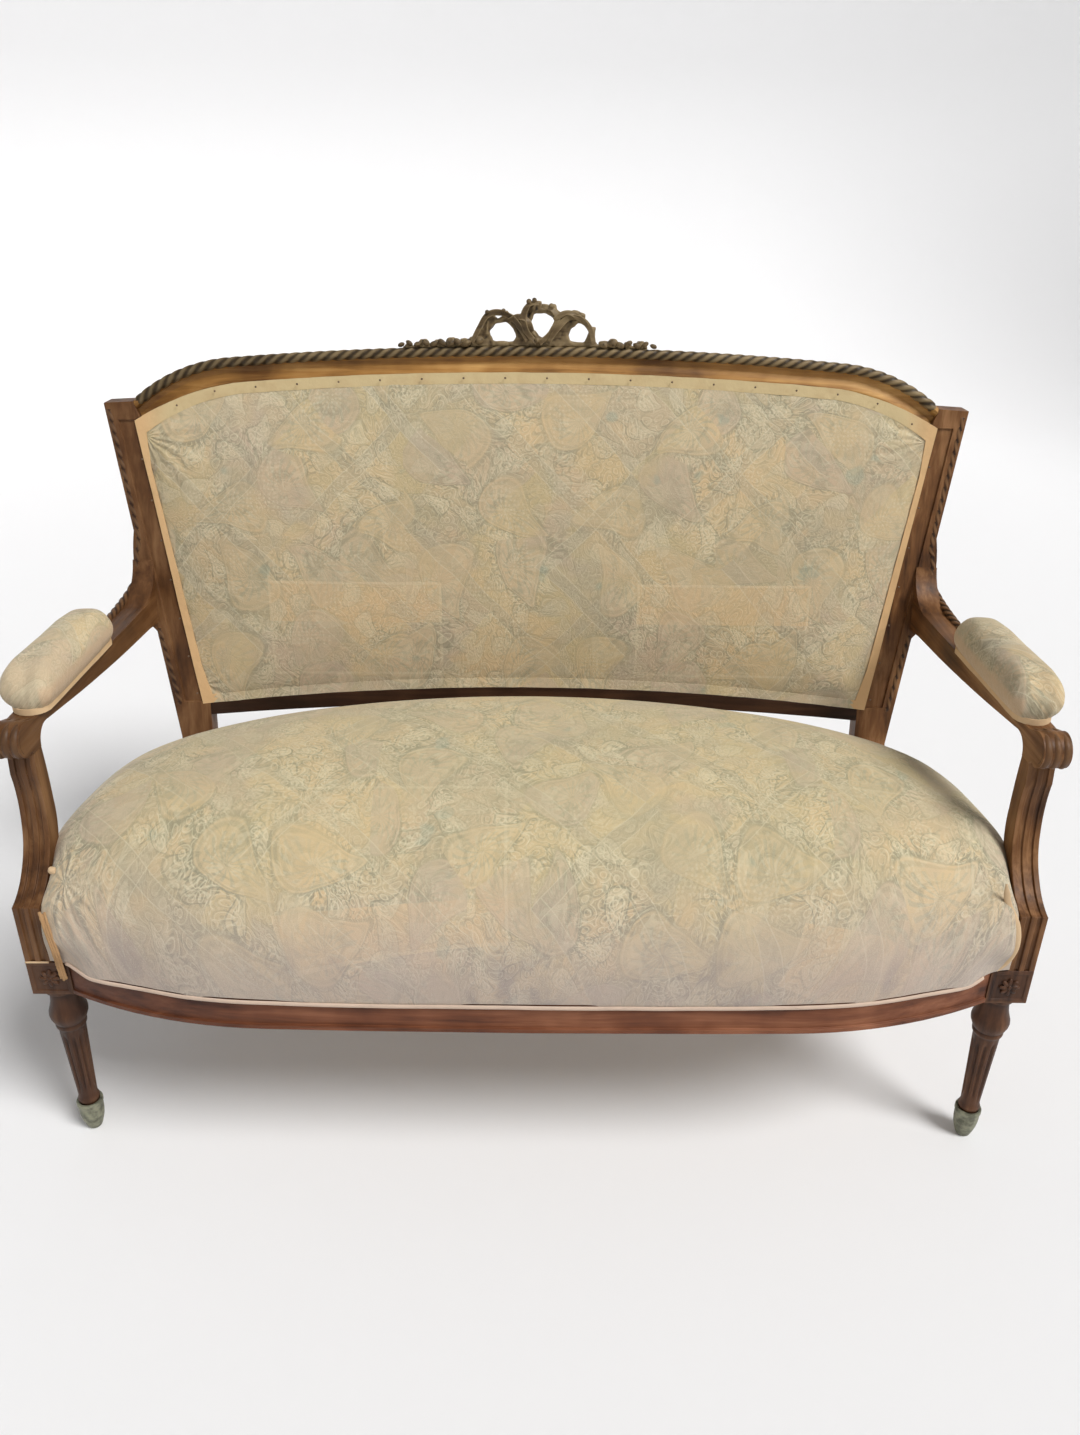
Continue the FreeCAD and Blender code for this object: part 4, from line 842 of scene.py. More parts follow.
def woodTree():
    bm = bmesh.new()
    for node in ("front_rail", "side_rail_left", "side_rail_right", "rear_rail", "back_post_left", "back_post_right",
                 "top_rail", "lower_back_rail", "arm_support_left", "arm_support_right", "arm_left", "arm_right",
                 "front_leg_left", "front_leg_right"):
        bm.from_mesh(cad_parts[node].data)
    tree = BVHTree.FromBMesh(bm)
    bm.free()
    return tree


wood = woodTree()


# Cloth simulation with pressure: no point moves further than the cap, or more than half its gap to the wood
def blownUp(skin, name, pressure, cap, held):
    before = [vert.co.copy() for vert in skin.vertices]
    piece = linked(name + "Cloth", skin)
    group = piece.vertex_groups.new(name="held")
    for number, place in enumerate(before):
        if held(place):
            group.add([number], 1.0, "REPLACE")
    cloth = piece.modifiers.new("cloth", "CLOTH")
    cloth.settings.use_pressure = True
    cloth.settings.uniform_pressure_force = pressure
    cloth.settings.vertex_group_mass = "held"
    cloth.settings.effector_weights.gravity = 0
    cloth.settings.quality = 3
    cloth.point_cache.frame_start = 1
    cloth.point_cache.frame_end = 20
    for number in range(1, 21):
        scene.frame_set(number)
    after = piece.evaluated_get(bpy.context.evaluated_depsgraph_get()).to_mesh()
    for vert, start, end in zip(skin.vertices, before, [vert.co.copy() for vert in after.vertices]):
        gap = wood.find_nearest(start, 0.05)[3]
        room = cap if gap is None else min(cap, max(0.0, (gap - 0.002) * 0.5))
        move = end - start
        if move.length > room:
            move.length = room
        vert.co = start + move if room > 0 else start
    scene.frame_set(1)
    bpy.data.objects.remove(piece)
    print(name, "cloth of", len(before), "points is blown up")


def padPiece(skin, name, material, replaced, unwrap, keep):
    bm = bmesh.new()
    bm.from_mesh(skin)
    gone = [face for face in bm.faces if not keep(face.calc_center_median(), face.normal)]
    bmesh.ops.delete(bm, geom=gone, context="FACES")
    relaxed(bm)
    smoothFaces(bm)
    markCloth(bm, unwrap)
    piece = finishMesh(bm, name, material, replaced)
    rounding = piece.modifiers.new("rounding", "SUBSURF")
    rounding.levels = rounding.render_levels = 1
    return piece


def markCloth(bm, unwrap):
    layer = bm.loops.layers.uv.new("cloth")
    for face in bm.faces:
        for loop in face.loops:
            loop[layer].uv = unwrap(loop.vert.co)


# The seat's cover, and its pinched places (left knot, right tuck) with how far their creases reach and how many
seat = {
    "hem": 0.3010, "crownZ": 0.530, "middleY": legY + 0.190, "voxel": 0.010, "pressure": 3.0, "cap": 0.007,
    "rails": ["front_rail", "side_rail_left", "side_rail_right", "rear_rail"],
    "panels": [(-0.33, -0.03, -0.33, -0.12, -0.33, -0.275), (0.35, 0.56, -0.33, -0.10, -0.33, -0.275)],
    "pinches": [((-0.5854, legY - 0.030, 0.4461), 0.085, 13.0), ((0.580, legY - 0.026, 0.442), 0.060, 9.0)],
}

# Ranges over which the seat's front corners are pulled out to the arm supports, pushed back and lifted
seatCorner = {
    "support": 0.6085, "outX": (0.50, 0.575), "outBack": (legY + 0.03, legY + 0.15), "outHeight": (0.395, 0.450),
    "outFront": (legY - 0.075, legY - 0.035), "front": legY - 0.029, "pushX": (0.548, 0.590),
    "pushHeight": (0.320, 0.358), "lift": 0.0100, "liftX": (0.550, 0.588), "endLift": 0.003, "endX": (0.588, 0.606),
}


def seatFiller(bm):
    corners = []
    for node in seat["rails"]:
        corners += [vert.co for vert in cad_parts[node].data.vertices if abs(vert.co.x) < 0.6]
    bmesh.ops.convex_hull(bm, input=[bm.verts.new(corner) for corner in corners])


def seatUnwrap(place):
    flat = Vector((place.x, place.y - seat["middleY"]))
    drop = max(0.0, seat["crownZ"] - place.z) * 1.3
    reach = math.hypot(flat.length, drop)
    return flat * (reach / max(flat.length, 0.001))


# The cover is pulled against the arm supports and lies on the dies' tops at the front corners
def fillCorners(skin):
    ranges = seatCorner
    reach, edge = ranges["support"], ranges["front"]
    for vert in skin.vertices:
        x, y, z = vert.co
        if abs(x) < 0.50 or abs(x) > reach + 0.03:
            continue
        share = eased(abs(x), *ranges["outX"]) * (1 - eased(y, *ranges["outBack"]))
        share *= 1 - eased(z, *ranges["outHeight"])
        share *= eased(y, *ranges["outFront"])
        x = math.copysign(abs(x) + (reach - abs(x)) * share if abs(x) < reach else abs(x), x)
        if y < edge:
            y += (edge - y) * eased(abs(x), *ranges["pushX"]) * (1 - eased(z, *ranges["pushHeight"]))
        lift = ranges["lift"] * eased(abs(x), *ranges["liftX"])
        if y - legY < 0.036 and z > seat["hem"] - 0.014 and lift > 0:
            z = max(z, seat["hem"] + lift + ranges["endLift"] * eased(abs(x), *ranges["endX"]))
        vert.co = (x, y, z)


# Folded hem that follows the cover's lower edge in front and along both sides
hem = {
    "height": 0.0031, "thick": 0.0014, "look": 0.0045, "level": 0.0010, "proud": 0.0012, "step": 0.004,
    "tone": (0.60, 0.46, 0.36),
}


def makeHem(tree):
    middle = Vector((0, seat["middleY"], seat["hem"] + hem["look"]))
    runs = [[], [], []]
    for number in range(721):
        angle = math.radians(number / 2 + 90)
        way = Vector((math.cos(angle), math.sin(angle), 0))
        hit = tree.ray_cast(middle + way * 1.2, -way)[0]
        if not hit:
            continue
        if hit.y < legY and abs(hit.x) < 0.591:
            runs[0].append(hit)
        elif legY + 0.036 < hit.y < legY + 0.400 and abs(hit.x) > 0.4:
            runs[1 if hit.x < 0 else 2].append(hit)
    bm = bmesh.new()
    for run in runs:
        for _ in range(12):
            run = [run[0]] + [(a + b * 2 + c) / 4 for a, b, c in zip(run, run[1:], run[2:])] + [run[-1]]
        places = [place + Vector((place.x, place.y - seat["middleY"], 0)).normalized() * hem["proud"]
                  for place in walked(run[::3], hem["step"])]
        for place in places:
            place.z = seat["hem"] + hem["level"] + noise.noise(place * 16) * 0.0008
            if place.y < legY:
                place.z += (seatCorner["lift"] - 0.001) * eased(abs(place.x), *seatCorner["liftX"])

        def folded(number):
            wave = 1 + noise.noise(places[number] * 60) * 0.25
            return [(across, up if up > 0 else up * 0.9)
                    for across, up in oval(hem["thick"] * wave, hem["height"], 14)]

        drawnAlong(bm, places, Vector((0, 0, 1)), folded)
    bmesh.ops.recalc_face_normals(bm, faces=bm.faces)
    smoothFaces(bm)
    finishMesh(bm, "seatHem", makeTape("seatTape", hem["tone"]), ["seat_edge_band"])


def makeSeat():
    skin = skinOf(["seat_cover", "seat_stuffing"] + seat["rails"], seat["voxel"], seatFiller, 10)
    fillCorners(skin)
    blownUp(skin, "seat", seat["pressure"], seat["cap"], lambda place: place.z < 0.335)
    tree = treeOf(skin)
    makeHem(tree)
    pinches = [(*seatUnwrap(tree.find_nearest(Vector(place))[0]), reach, count)
               for place, reach, count in seat["pinches"]]
    return padPiece(
        skin, "seatCover", makePaisley("seatPaisley", seat["panels"], True, pinches),
        ["seat_cover", "seat_stuffing"], seatUnwrap,
        lambda place, normal: place.z > seat["hem"] and (normal.z > -0.3 or place.z > seat["hem"] + 0.012))


# The back's cover. Its hessian is thickened towards the rear so that the remeshed skin stays closed
back = {
    "nodes": ["back_cover", "back_pad", "back_hessian"], "voxel": 0.007, "pressure": 2.5, "cap": 0.006,
    "layers": 4, "layerStep": -0.0018,
    "panels": [(-0.415, -0.145, 0.110, 0.262, 0.198, 0.262), (0.160, 0.430, 0.110, 0.262, 0.198, 0.262)],
    "pinches": [(-0.590, 0.478, 0.14, 17.0), (0.590, 0.478, 0.14, 17.0), (-0.530, 0.09, 0.05, 9.0)],
}


def backFiller(bm):
    for number in range(1, back["layers"] + 1):
        start = len(bm.verts)
        bm.from_mesh(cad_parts["back_hessian"].data)
        bm.verts.ensure_lookup_table()
        bmesh.ops.translate(bm, vec=outWay * (back["layerStep"] * number), verts=bm.verts[start:])


def makeBack():
    skin = skinOf(back["nodes"], back["voxel"], backFiller, 5)
    blownUp(skin, "back", back["pressure"], back["cap"], lambda place: backShape(place).z < 0.001)
    material = makePaisley("backPaisley", back["panels"], False, back["pinches"])
    padPiece(skin, "backCover", material, back["nodes"], lambda place: backShape(place).xy,
             lambda place, normal: normal.dot(outWay) > -0.2 and backShape(place).z > -0.006)
    return material


# The arm pads' cover: how square its section and its front are
pad = {
    "nodes": ["arm_pad_covers", "arm_pad_left", "arm_pad_right"], "voxel": 0.004, "pressure": 4.0, "cap": 0.003,
    "power": 3.8, "mostGain": 1.13, "frontPower": 3.6, "gathers": 17, "gatherDepth": 0.0011,
}


# How much further out a rounded square lies than a circle, in the direction of a and b
def squareGain(a, b, power):
    return math.hypot(a, b) / max((abs(a) ** power + abs(b) ** power) ** (1 / power), 0.001)


# The pads have flat tops, sides and fronts with rounded edges between them; their lowest part stays as it is
def squareUp(skin, low, high):
    base = low.z
    inner = min(abs(vert.co.x) for vert in skin.vertices)
    middle = Vector(((inner + high.x) / 2, (high.y + low.y) / 2, base))
    halves = Vector((high.x - middle.x, (high.y - low.y) / 2, high.z - base))
    capY = low.y + halves.x
    for vert in skin.vertices:
        side = math.copysign(1, vert.co.x)
        place = Vector((abs(vert.co.x), vert.co.y, vert.co.z))
        a, c, b = [(place[axis] - middle[axis]) / halves[axis] for axis in range(3)]
        share = eased(place.z, base + 0.004, base + 0.022) * (1 - 0.7 * eased(c, 0.3, 0.9))
        gain = 1 + (min(squareGain(a, max(b, 0.0), pad["power"]), pad["mostGain"]) - 1) * share
        x = middle.x + (place.x - middle.x) * gain
        z = base + (place.z - base) * (gain if b > 0 else 1)
        y = place.y
        if y < capY:
            gain = squareGain((x - middle.x) / halves.x, (capY - y) / halves.x, pad["frontPower"])
            gain = 1 + (gain - 1) * eased(place.z, base + 0.002, base + 0.014)
            x = middle.x + (x - middle.x) * gain
            y = capY - (capY - y) * gain
        vert.co = (side * min(max(x, inner - 0.001), high.x + 0.001), y, min(z, high.z))


# The cover is gathered where it is folded round the front corners
def gather(skin, low, high):
    middle = (min(abs(vert.co.x) for vert in skin.vertices) + high.x) / 2
    for vert in skin.vertices:
        x, y, z = vert.co
        near = 1 - eased(y, low.y + 0.004, low.y + 0.040)
        share = eased(z, low.z + 0.003, low.z + 0.010) * (1 - eased(z, low.z + 0.030, low.z + 0.050))
        turn = math.atan2(abs(x) - middle, low.y + 0.030 - y)
        wave = math.sin(turn * pad["gathers"] + noise.noise(vert.co * 60) * 2)
        vert.co += vert.normal * (pad["gatherDepth"] * near * share * wave)


def makePads():
    skin = skinOf(pad["nodes"], pad["voxel"])
    low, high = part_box("arm_pad_covers")
    squareUp(skin, low, high)
    blownUp(skin, "pads", pad["pressure"], pad["cap"], lambda place: place.z < low.z + 0.006)
    gather(skin, low, high)
    padPiece(
        skin, "armPadCovers", makePaisley("padPaisley", peachSide=True), pad["nodes"],
        lambda place: Vector((place.x + (place.z - low.z) * (1 if place.x > 0 else -1) * 0.8, place.y)),
        lambda place, normal: place.z > low.z - 0.001)


# Turned and fluted front legs, with the die blocks cut to their rosettes: profile points are radius and height
leg = {
    "die": 0.054, "dieLow": 0.258, "dieHigh": 0.310, "sunk": 0.0012, "rosette": 0.0135, "petals": 8,
    "profile": [
        (0.0, 0.010), (0.0085, 0.010), (0.0100, 0.030), (0.0128, 0.0505), (0.0140, 0.0525), (0.0144, 0.0555),
        (0.0134, 0.0585), (0.0126, 0.0610), (0.0128, 0.0680), (0.0152, 0.1300), (0.0174, 0.1830), (0.0180, 0.1865),
        (0.0196, 0.1880), (0.0200, 0.1905), (0.0196, 0.1930), (0.0190, 0.1945), (0.0215, 0.1985), (0.0240, 0.2050),
        (0.0246, 0.2095), (0.0240, 0.2145), (0.0218, 0.2210), (0.0196, 0.2290), (0.0184, 0.2390), (0.0184, 0.2470),
        (0.0200, 0.2485), (0.0226, 0.2500), (0.0234, 0.2530), (0.0228, 0.2570), (0.0200, 0.2590), (0.0, 0.2590),
    ],
    "ringStep": 0.006, "flutes": 10, "fluteLow": 0.072, "fluteHigh": 0.178, "fluteDepth": 0.17, "around": 120,
}


def spunShape(bm, profile, centre, steps):
    verts = [bm.verts.new((centre.x + reach, centre.y, height)) for reach, height in profile]
    edges = [bm.edges.new(pair) for pair in zip(verts, verts[1:])]
    bmesh.ops.spin(bm, geom=verts + edges, cent=centre, axis=(0, 0, 1), angle=2 * math.pi, steps=steps, use_merge=True)


def addBall(bm, matrix, around=14, rings=10, radius=1.0):
    bmesh.ops.create_uvsphere(bm, u_segments=around, v_segments=rings, radius=radius, matrix=matrix)


def addRosette(bm, middle, out):
    aim = Matrix.Translation(middle) @ out.to_track_quat("Z", "Y").to_matrix().to_4x4()
    radius = leg["rosette"]
    shape = Matrix.Diagonal((radius * 0.46, radius * 0.24, 0.0026, 1))
    for number in range(leg["petals"]):
        turn = Matrix.Rotation(math.pi * 2 / leg["petals"] * number, 4, "Z")
        petal = turn @ Matrix.Translation((radius * 0.56, 0, 0.0008)) @ shape
        addBall(bm, aim @ petal, 12, 8)
    boss = Matrix.Translation((0, 0, 0.0012)) @ Matrix.Diagonal((radius * 0.27, radius * 0.27, 0.003, 1))
    addBall(bm, aim @ boss, 12, 8)


def addDie(bm, centre):
    middle = Vector((centre.x, centre.y, (leg["dieLow"] + leg["dieHigh"]) / 2))
    grow = Matrix.Diagonal((leg["die"], leg["die"], leg["dieHigh"] - leg["dieLow"], 1))
    cube = bmesh.ops.create_cube(bm, size=1.0, matrix=Matrix.Translation(middle) @ grow)["verts"]
    faces = {face for vert in cube for face in vert.link_faces}
    side = 1 if centre.x > 0 else -1
    shown = [face for face in faces if face.normal.y < -0.9 or face.normal.x * side > 0.9]
    bmesh.ops.inset_individual(bm, faces=shown, thickness=0.0085, depth=0.0)
    bmesh.ops.inset_individual(bm, faces=shown, thickness=0.0008, depth=-leg["sunk"])
    for out in (frontWay, Vector((side, 0, 0))):
        addRosette(bm, middle + out * (leg["die"] / 2 - leg["sunk"]), out)


def cutFlutes(bm, centre):
    for vert in bm.verts:
        offset = Vector((vert.co.x - centre.x, vert.co.y - centre.y))
        if offset.length < 0.001 or not leg["fluteLow"] < vert.co.z < leg["fluteHigh"]:
            continue
        angle = math.atan2(offset.y, offset.x)
        ends = min(vert.co.z - leg["fluteLow"], leg["fluteHigh"] - vert.co.z) / 0.010
        depth = leg["fluteDepth"] * min(1.0, ends) * max(0.0, math.cos(leg["flutes"] * angle) + 0.35) / 1.35
        offset *= 1 - depth
        vert.co = Vector((centre.x + offset.x, centre.y + offset.y, vert.co.z))


def makeLegs():
    profile = []
    for (r0, z0), (r1, z1) in zip(leg["profile"], leg["profile"][1:]):
        parts = max(1, int((z1 - z0) / leg["ringStep"]))
        profile += [(r0 + (r1 - r0) * part / parts, z0 + (z1 - z0) * part / parts) for part in range(parts)]
    profile.append(leg["profile"][-1])
    for side, name in ((-1, "left"), (1, "right")):
        bm = bmesh.new()
        centre = Vector((side * legX, legY, 0))
        spunShape(bm, profile, centre, leg["around"])
        cutFlutes(bm, centre)
        addDie(bm, centre)
        bmesh.ops.recalc_face_normals(bm, faces=bm.faces)
        markRelief(bm, 1.6, 1)
        layer = bm.verts.layers.float["relief"]
        for vert in bm.verts:  # the dies keep an even tone
            if vert.co.z > leg["dieLow"] + 0.0002:
                vert[layer] = 0.46 + (vert[layer] - 0.5) * 0.2
        shadeByAngle(bm, 40)
        piece = finishMesh(bm, "frontLeg" + name.capitalize(), woods["leg"], ["front_leg_" + name])
        wornEdges(piece, 0.0009, 50)


# Brass cup round each foot: radius and height
cupProfile = [
    (0.0, 0.0), (0.0080, 0.0), (0.0096, 0.0012), (0.0108, 0.0040), (0.0132, 0.0120), (0.0152, 0.0200),
    (0.0163, 0.0280), (0.0166, 0.0360), (0.0164, 0.0410), (0.0170, 0.0422), (0.0176, 0.0440), (0.0176, 0.0480),
    (0.0168, 0.0498), (0.0145, 0.0500), (0.0138, 0.0490), (0.0132, 0.0440),
]


def makeCups():
    bm = bmesh.new()
    for side in (-1, 1):
        spunShape(bm, cupProfile, Vector((side * legX, legY, 0)), 64)
    bmesh.ops.recalc_face_normals(bm, faces=bm.faces)
    shadeByAngle(bm, 45)
    material = makePlain("tarnishedBrass", (0.20, 0.20, 0.14), 0.5, 0.55, 0.45, 90.0, 0.0006)
    finishMesh(bm, "footCups", material, ["foot_cups"])


# Pierced ribbon bow: the model's carving with its edges worn round
def makeCrest():
    skin = skinOf(["crest_carving"], 0.0017, None, 3)
    bm = bmesh.new()
    bm.from_mesh(skin)
    for vert in bm.verts:
        cut = noise.noise(vert.co * 210) * 0.0007 + noise.noise(vert.co * 90) * 0.0011
        vert.co += vert.normal * cut
    markRelief(bm, 4.0, 3)
    smoothFaces(bm)
    finishMesh(bm, "crestCarving", woods["crest"], ["crest_carving"])


# Ribbons and buds laid over the carving: x from the middle, height over the crown, and a bud's radius. Leaves
# run from a start to an end on each side
crest = {
    "out": 0.0008, "ribbonWidth": 0.0046, "leafStep": 0.0105, "leaf": (0.0078, 0.0042, 0.0048),
    "leaves": {-1: (0.104, 0.200), 1: (0.098, 0.172)},
    "ribbons": [
        [(-0.096, 0.004), (-0.084, 0.026), (-0.072, 0.043), (-0.054, 0.047), (-0.036, 0.040), (-0.022, 0.022),
         (-0.013, 0.006)],
        [(0.018, 0.006), (0.030, 0.024), (0.045, 0.040), (0.063, 0.040), (0.078, 0.025), (0.084, 0.004)],
        [(0.000, 0.004), (-0.015, 0.021), (-0.020, 0.041), (-0.012, 0.057), (0.003, 0.060)],
        [(0.003, 0.004), (0.021, 0.021), (0.030, 0.038), (0.021, 0.052), (0.006, 0.057)],
        [(-0.042, 0.036), (-0.030, 0.041), (-0.015, 0.036), (-0.006, 0.021)],
        [(0.024, 0.038), (0.045, 0.047), (0.066, 0.038), (0.075, 0.028)],
    ],
    "buds": [
        (0.021, 0.056, 0.0042), (-0.012, 0.062, 0.0040), (-0.004, 0.064, 0.0036), (-0.049, 0.049, 0.0034),
        (-0.073, 0.047, 0.0034), (0.112, 0.006, 0.0058), (-0.084, 0.008, 0.0060), (0.000, 0.008, 0.0050),
    ],
}


def addRibbon(bm, ribbon, order):
    out = crest["out"] + 0.0010 * (order % 3)
    places = walked([onBack(x, crown["rise"] + rise, out) for x, rise in ribbon], 0.0013)
    last = len(places) - 1

    def turned(number):
        turn = math.sin(number / last * math.pi * 2.2 + order) * 0.75
        return outWay * math.cos(turn) + riseWay * math.sin(turn)

    def ribbonSection(number):
        wide = crest["ribbonWidth"] * (0.7 + 0.3 * math.sin(math.pi * number / last))
        # the ribbon's edges get high relief values for painted highlights, its middle lower ones
        return [(wide * math.cos(turn), 0.0013 * math.sin(turn) + 0.0010 * math.cos(turn) ** 2,
                 0.45 + 0.5 * abs(math.cos(turn)) ** 3) for turn in turnsOf(12)]

    drawnAlong(bm, places, turned, ribbonSection)


def addLeaves(bm, side):
    start, end = crest["leaves"][side]
    count = int((end - start) / crest["leafStep"])
    for number in range(count):
        x = start + (end - start) * number / (count - 1)
        fall = crown["rise"] - x * x / (2 * crown["radius"])
        aim = Matrix.Translation(onBack(side * x, fall + 0.0045 + 0.002 * (number % 2), crest["out"]))
        turn = Matrix.Rotation((0.6 if number % 2 else -0.35) * side, 4, outWay)
        grow = 1.0 - 0.35 * number / count
        addBall(bm, aim @ turn @ Matrix.Diagonal((*[length * grow for length in crest["leaf"]], 1)))


def makeCrestRibbons():
    bm = bmesh.new()
    for order, ribbon in enumerate(crest["ribbons"]):
        addRibbon(bm, ribbon, order)
    for x, rise, radius in crest["buds"]:
        place = onBack(x, crown["rise"] + rise, crest["out"] + 0.001)
        addBall(bm, Matrix.Translation(place), radius=radius)
    for side in (-1, 1):
        addLeaves(bm, side)
    layer = bm.verts.layers.float["relief"]
    for vert in bm.verts:
        if vert[layer] == 0.0:
            vert[layer] = 0.55 + 0.4 * noise.noise(vert.co * 300)
    bmesh.ops.recalc_face_normals(bm, faces=bm.faces)
    smoothFaces(bm)
    finishMesh(bm, "crestRibbons", woods["crest"])


# Tapes of the back and the pads. The back's side tapes run up from their low end, and its lower band is a hem of
# the cover's own cloth
tapes = {
    "peach": (0.66, 0.43, 0.22), "pale": (0.60, 0.475, 0.265), "pad": (0.64, 0.455, 0.27),
    "lowEnd": (0.5415, 0.075), "slope": (0.990, 0.144), "lap": 0.45, "hemRise": 0.104, "hemX": 0.515,
}


# The cover laps a little over the inner edge of each side tape
def narrowed(bm):
    (lowX, lowRise), (along, fall) = tapes["lowEnd"], tapes["slope"]
    for vert in bm.verts:
        x, rise, _ = backShape(vert.co)
        inward = (rise - lowRise) * fall - (abs(x) - lowX) * along
        if abs(x) > 0.50 and inward > 0:
            move = min(inward, 0.012) * tapes["lap"] * eased(rise, 0.095, 0.125) * (1 - eased(rise, 0.430, 0.465))
            vert.co += Vector((math.copysign(along * move, x), 0, 0)) - riseWay * (fall * move)


# A tape keeps its place in the model and gets the small waves of a sewn edge
def tapeCopy(node, material, name, wave, kept=None, replaced=True):
    bm = bmesh.new()
    bm.from_mesh(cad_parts[node].data)
    bmesh.ops.remove_doubles(bm, verts=bm.verts, dist=0.00002)
    for _ in range(3):
        long = [edge for edge in bm.edges if edge.calc_length() > 0.010]
        if long:
            bmesh.ops.subdivide_edges(bm, edges=long, cuts=1, use_grid_fill=True)
            bmesh.ops.triangulate(bm, faces=[face for face in bm.faces if len(face.verts) > 4])
    if kept:
        gone = [face for face in bm.faces if not kept(face.calc_center_median())]
        bmesh.ops.delete(bm, geom=gone, context="FACES")
        narrowed(bm)
    for vert in bm.verts:
        vert.co += Vector((noise.noise(vert.co * 40), noise.noise(vert.co * 40 + Vector((7, 0, 0))),
                           noise.noise(vert.co * 30 + Vector((0, 9, 0))))) * wave
    markCloth(bm, lambda place: backShape(place).xy)
    shadeByAngle(bm, 45)
    finishMesh(bm, name, material, [node] if replaced else [])


def makeBands(cover):
    backTape = makeTape("backTape", tapes["peach"], tapes["pale"])
    padTape = makeTape("padTape", tapes["pad"])

    def inHem(place):
        return backShape(place).y < tapes["hemRise"] and abs(place.x) < tapes["hemX"]

    tapeCopy("back_edge_band", backTape, "backTape", 0.0006, lambda place: not inHem(place))
    tapeCopy("back_edge_band", cover, "backHem", 0.0006, inHem, False)
    tapeCopy("arm_pad_bands", padTape, "padTape", 0.0007)


# Loose cloth ends at the seat's front corners: a folded tape against the right support, and on the left a
# frayed strip of three strands over the die, a knot, and a thin pale line along the die's top edge
cornerTrims = {
    "tape": [(0.5930, -0.0300, 0.3115), (0.6020, -0.0340, 0.3240), (0.6060, -0.0360, 0.3550),
             (0.6060, -0.0340, 0.3850), (0.5960, -0.0310, 0.4200), (0.5795, -0.0270, 0.4450)],
    "tapeWidth": 0.0042, "tapeThick": 0.0016, "tapeTone": (0.60, 0.43, 0.26),
    "strip": [(-0.6060, 0.3890), (-0.6050, 0.3700), (-0.6035, 0.3525), (-0.6005, 0.3250), (-0.5990, 0.3050),
              (-0.5975, 0.2835)],
    "strandShifts": ((-0.0010, 0.0020), (0.0020, -0.0010), (0.0050, 0.0015)),
    "strandRadius": 0.0021, "stripTone": (0.41, 0.245, 0.12),
    "dieLine": [(-0.6414, 0.3099), (-0.6250, 0.3101), (-0.6090, 0.3103)], "lineRadius": 0.0013,
    "knot": (-0.5795, 0.4530), "knotRadius": 0.0046,
    "depth": -0.030,
}


# The trims lie on the finished seat cover or the wood, where the camera's line to a point meets them
def makeCornerTrims(cover):
    trim = cornerTrims
    skinTree = treeOf(cover.data)
    eye = Vector(view["place"])

    def onSkin(x, z, lift=0.0012):
        place = Vector((x, legY + trim["depth"], z))
        way = (place - eye).normalized()
        hits = [tree.ray_cast(eye, way)[0] for tree in (skinTree, wood)]
        near = [hit for hit in hits if hit and (hit - place).length < 0.04]
        return min(near, key=lambda hit: (hit - eye).length, default=place) - way * lift

    def atDepth(x, z, y):
        place = Vector((x, legY + trim["depth"], z))
        way = place - eye
        return place + way * ((y - place.y) / way.y)

    bm = bmesh.new()
    points = []
    for x, y, z in trim["tape"]:
        place = Vector((x, legY + y, z))
        hit, _, _, gap = skinTree.find_nearest(place)
        points.append(hit + Vector((0, 0.0003, 0)) if gap < 0.016 else place)
    places = walked(points, 0.003)

    def tapered(number):
        end = min(1.0, 0.30 + 0.10 * min(number, len(places) - 1 - number))
        return oval(trim["tapeWidth"] * end, trim["tapeThick"] * end, 12)

    drawnAlong(bm, places, frontWay, tapered)
    dieEdge = [Vector((x, legY - leg["die"] / 2 - 0.0003, z)) for x, z in trim["dieLine"]]
    drawnAlong(bm, walked(dieEdge, 0.003), frontWay, lambda number: oval(trim["lineRadius"], trim["lineRadius"], 10))
    middle = onSkin(*trim["knot"], 0.0)
    knot = bmesh.ops.create_icosphere(bm, subdivisions=3, radius=trim["knotRadius"], matrix=Matrix.Translation(middle))
    for vert in knot["verts"]:
        vert.co += (vert.co - middle) * noise.noise(vert.co * 260) * 0.3
    smoothFaces(bm)
    finishMesh(bm, "cornerTapes", makeTape("cornerTape", trim["tapeTone"]))

    bm = bmesh.new()
    depths = [onSkin(*spot).y for spot in trim["strip"]]
    depths = [min(depths[max(number - 1, 0):number + 2]) for number in range(len(depths))]
    for order, (shiftX, shiftZ) in enumerate(trim["strandShifts"]):
        strand = [atDepth(x + shiftX, z + shiftZ, y) for (x, z), y in zip(trim["strip"], depths)]

        def frayed(number):
            radius = trim["strandRadius"] * (0.85 + 0.6 * abs(noise.noise(Vector((number * 0.31, order * 5, 0)))))
            return [(across * 0.95, up * 0.7) for across, up in oval(radius, radius, 10)]

        drawnAlong(bm, walked(strand, 0.0018), frontWay, frayed)
    smoothFaces(bm)
    finishMesh(bm, "cornerStrip", makeTape("stripTape", trim["stripTone"]))


# Three leaf-like lobes laid over the front of each arm scroll
scroll = {
    "y": 0.034, "z": 0.597, "reach": 0.0178, "lobes": (0.6139, 0.6250, 0.6361), "radius": 0.0060,
    "from": 62.0, "to": 262.0, "steps": 26,
}


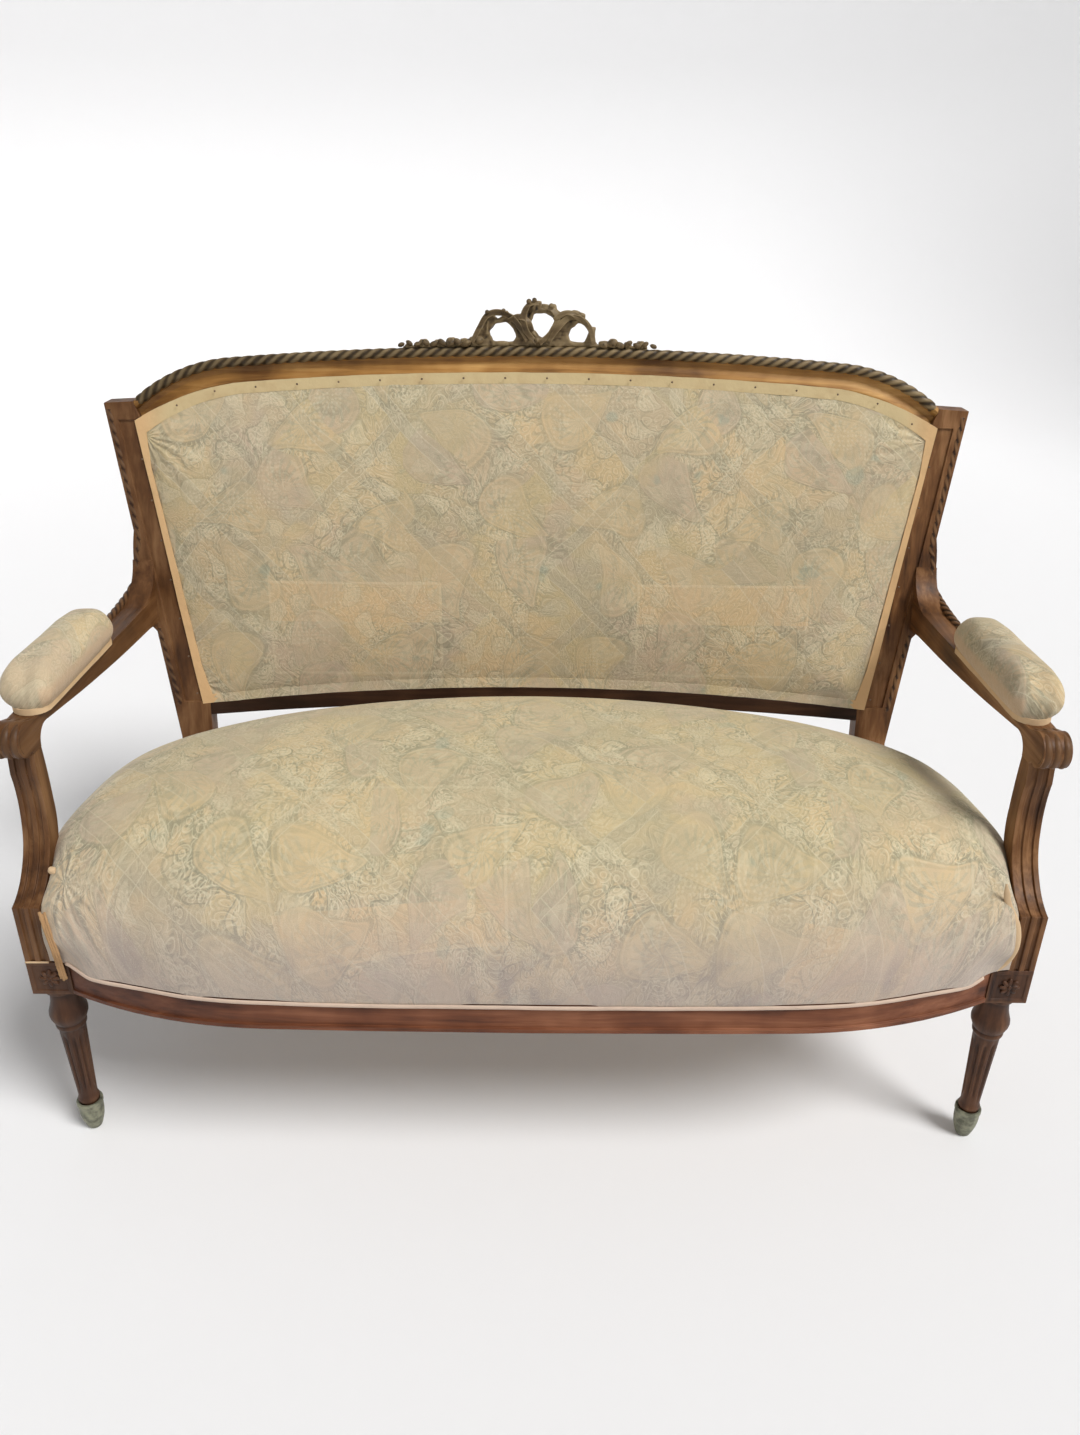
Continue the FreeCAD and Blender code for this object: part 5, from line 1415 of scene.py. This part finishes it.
def makeScrolls():
    bm = bmesh.new()
    centre = Vector((0, legY + scroll["y"], scroll["z"]))
    for x in [side * lobe for side in (-1, 1) for lobe in scroll["lobes"]]:
        points = []
        for number in range(scroll["steps"] + 1):
            angle = math.radians(scroll["from"] + (scroll["to"] - scroll["from"]) * number / scroll["steps"])
            points.append(Vector((x, legY + scroll["y"] + scroll["reach"] * math.cos(angle),
                                  scroll["z"] + scroll["reach"] * math.sin(angle))))
        neck = [points[0] + Vector((0, 0.016, -0.0012)), points[0] + Vector((0, 0.008, 0.0))]
        places = walked(neck + points, 0.0022)
        last = len(places) - 1

        def outward(number):
            return Vector((0, places[number].y - centre.y, places[number].z - centre.z))

        def lobeRound(number):
            near = min(1.0, 0.45 + number / last * 1.1) * min(1.0, 0.5 + (last - number) * 0.12)
            reach = scroll["radius"] * near
            # the lobe's outer side gets painted highlights and its side towards the scroll's middle painted shade
            return [(reach * math.cos(turn), reach * math.sin(turn), 0.30 + 0.45 * max(0.0, math.sin(turn)))
                    for turn in turnsOf(14)]

        drawnAlong(bm, places, outward, lobeRound)
    bmesh.ops.recalc_face_normals(bm, faces=bm.faces)
    smoothFaces(bm)
    finishMesh(bm, "scrollLobes", woods["scallop"])


# Tack heads along the side tapes and the top tape
tacks = {
    "radius": 0.0016, "spacing": 0.062, "out": 0.0042, "inward": 0.0445,
    "side": [(0.5435, 0.075), (0.6010, 0.470)],
}


def makeTacks():
    bm = bmesh.new()
    out, spacing = tacks["out"], tacks["spacing"]
    spots = []
    for side in (-1, 1):
        spots += walked([onBack(side * x, rise, out) for x, rise in tacks["side"]], spacing)
    spots += walked(crownLine(tacks["inward"], out), spacing)[1:]
    turn = outWay.to_track_quat("Z", "Y").to_matrix().to_4x4()
    for spot in spots:
        addBall(bm, Matrix.Translation(spot) @ turn @ Matrix.Diagonal((1, 1, 0.5, 1)), 10, 6, tacks["radius"])
    smoothFaces(bm)
    finishMesh(bm, "bandTacks", makePlain("darkTacks", (0.16, 0.11, 0.07), 0.5, 0.6))


def makeHidden():
    beech = makeWood("beechWood", "golden", 0)
    webbing = makePlain("juteWebbing", (0.40, 0.27, 0.14), 0.9, 0.0, 0.2, 500.0, 0.0006)
    hessian = makePlain("hessianCloth", (0.46, 0.34, 0.19), 0.92, 0.0, 0.25, 700.0, 0.0006)
    steel = makePlain("springWire", (0.30, 0.22, 0.16), 0.42, 0.8, 0.2, 80.0)
    for node in ("rear_rail", "corner_blocks"):
        wornCopy(node, beech, 0.001)
    for node in ("seat_webbing_long", "seat_webbing_cross", "back_webbing_upright", "back_webbing_cross"):
        wornCopy(node, webbing)
    wornCopy("spring_hessian", hessian)
    wornCopy("seat_springs", steel)
    cover = makePlain("outsideCloth", (0.50, 0.42, 0.30), 0.9, 0.0, 0.12, 300.0, 0.0004)
    wornCopy("outside_back_cover", cover)


makeCamera()
makeFloor()
makeLights()
print("camera, floor and lights are set")
makeFrame()
makeLegs()
makeCups()
makeBeads()
makeFillet()
makeCrest()
makeCrestRibbons()
makeScrolls()
print("frame is dressed")
makeHidden()
print("webbing, springs and hidden wood are dressed")
seatCover = makeSeat()
print("seat is padded")
backCloth = makeBack()
print("back is padded")
makeBands(backCloth)
makeTacks()
makeCornerTrims(seatCover)
print("tapes are sewn on")
makePads()
print("arms are padded")
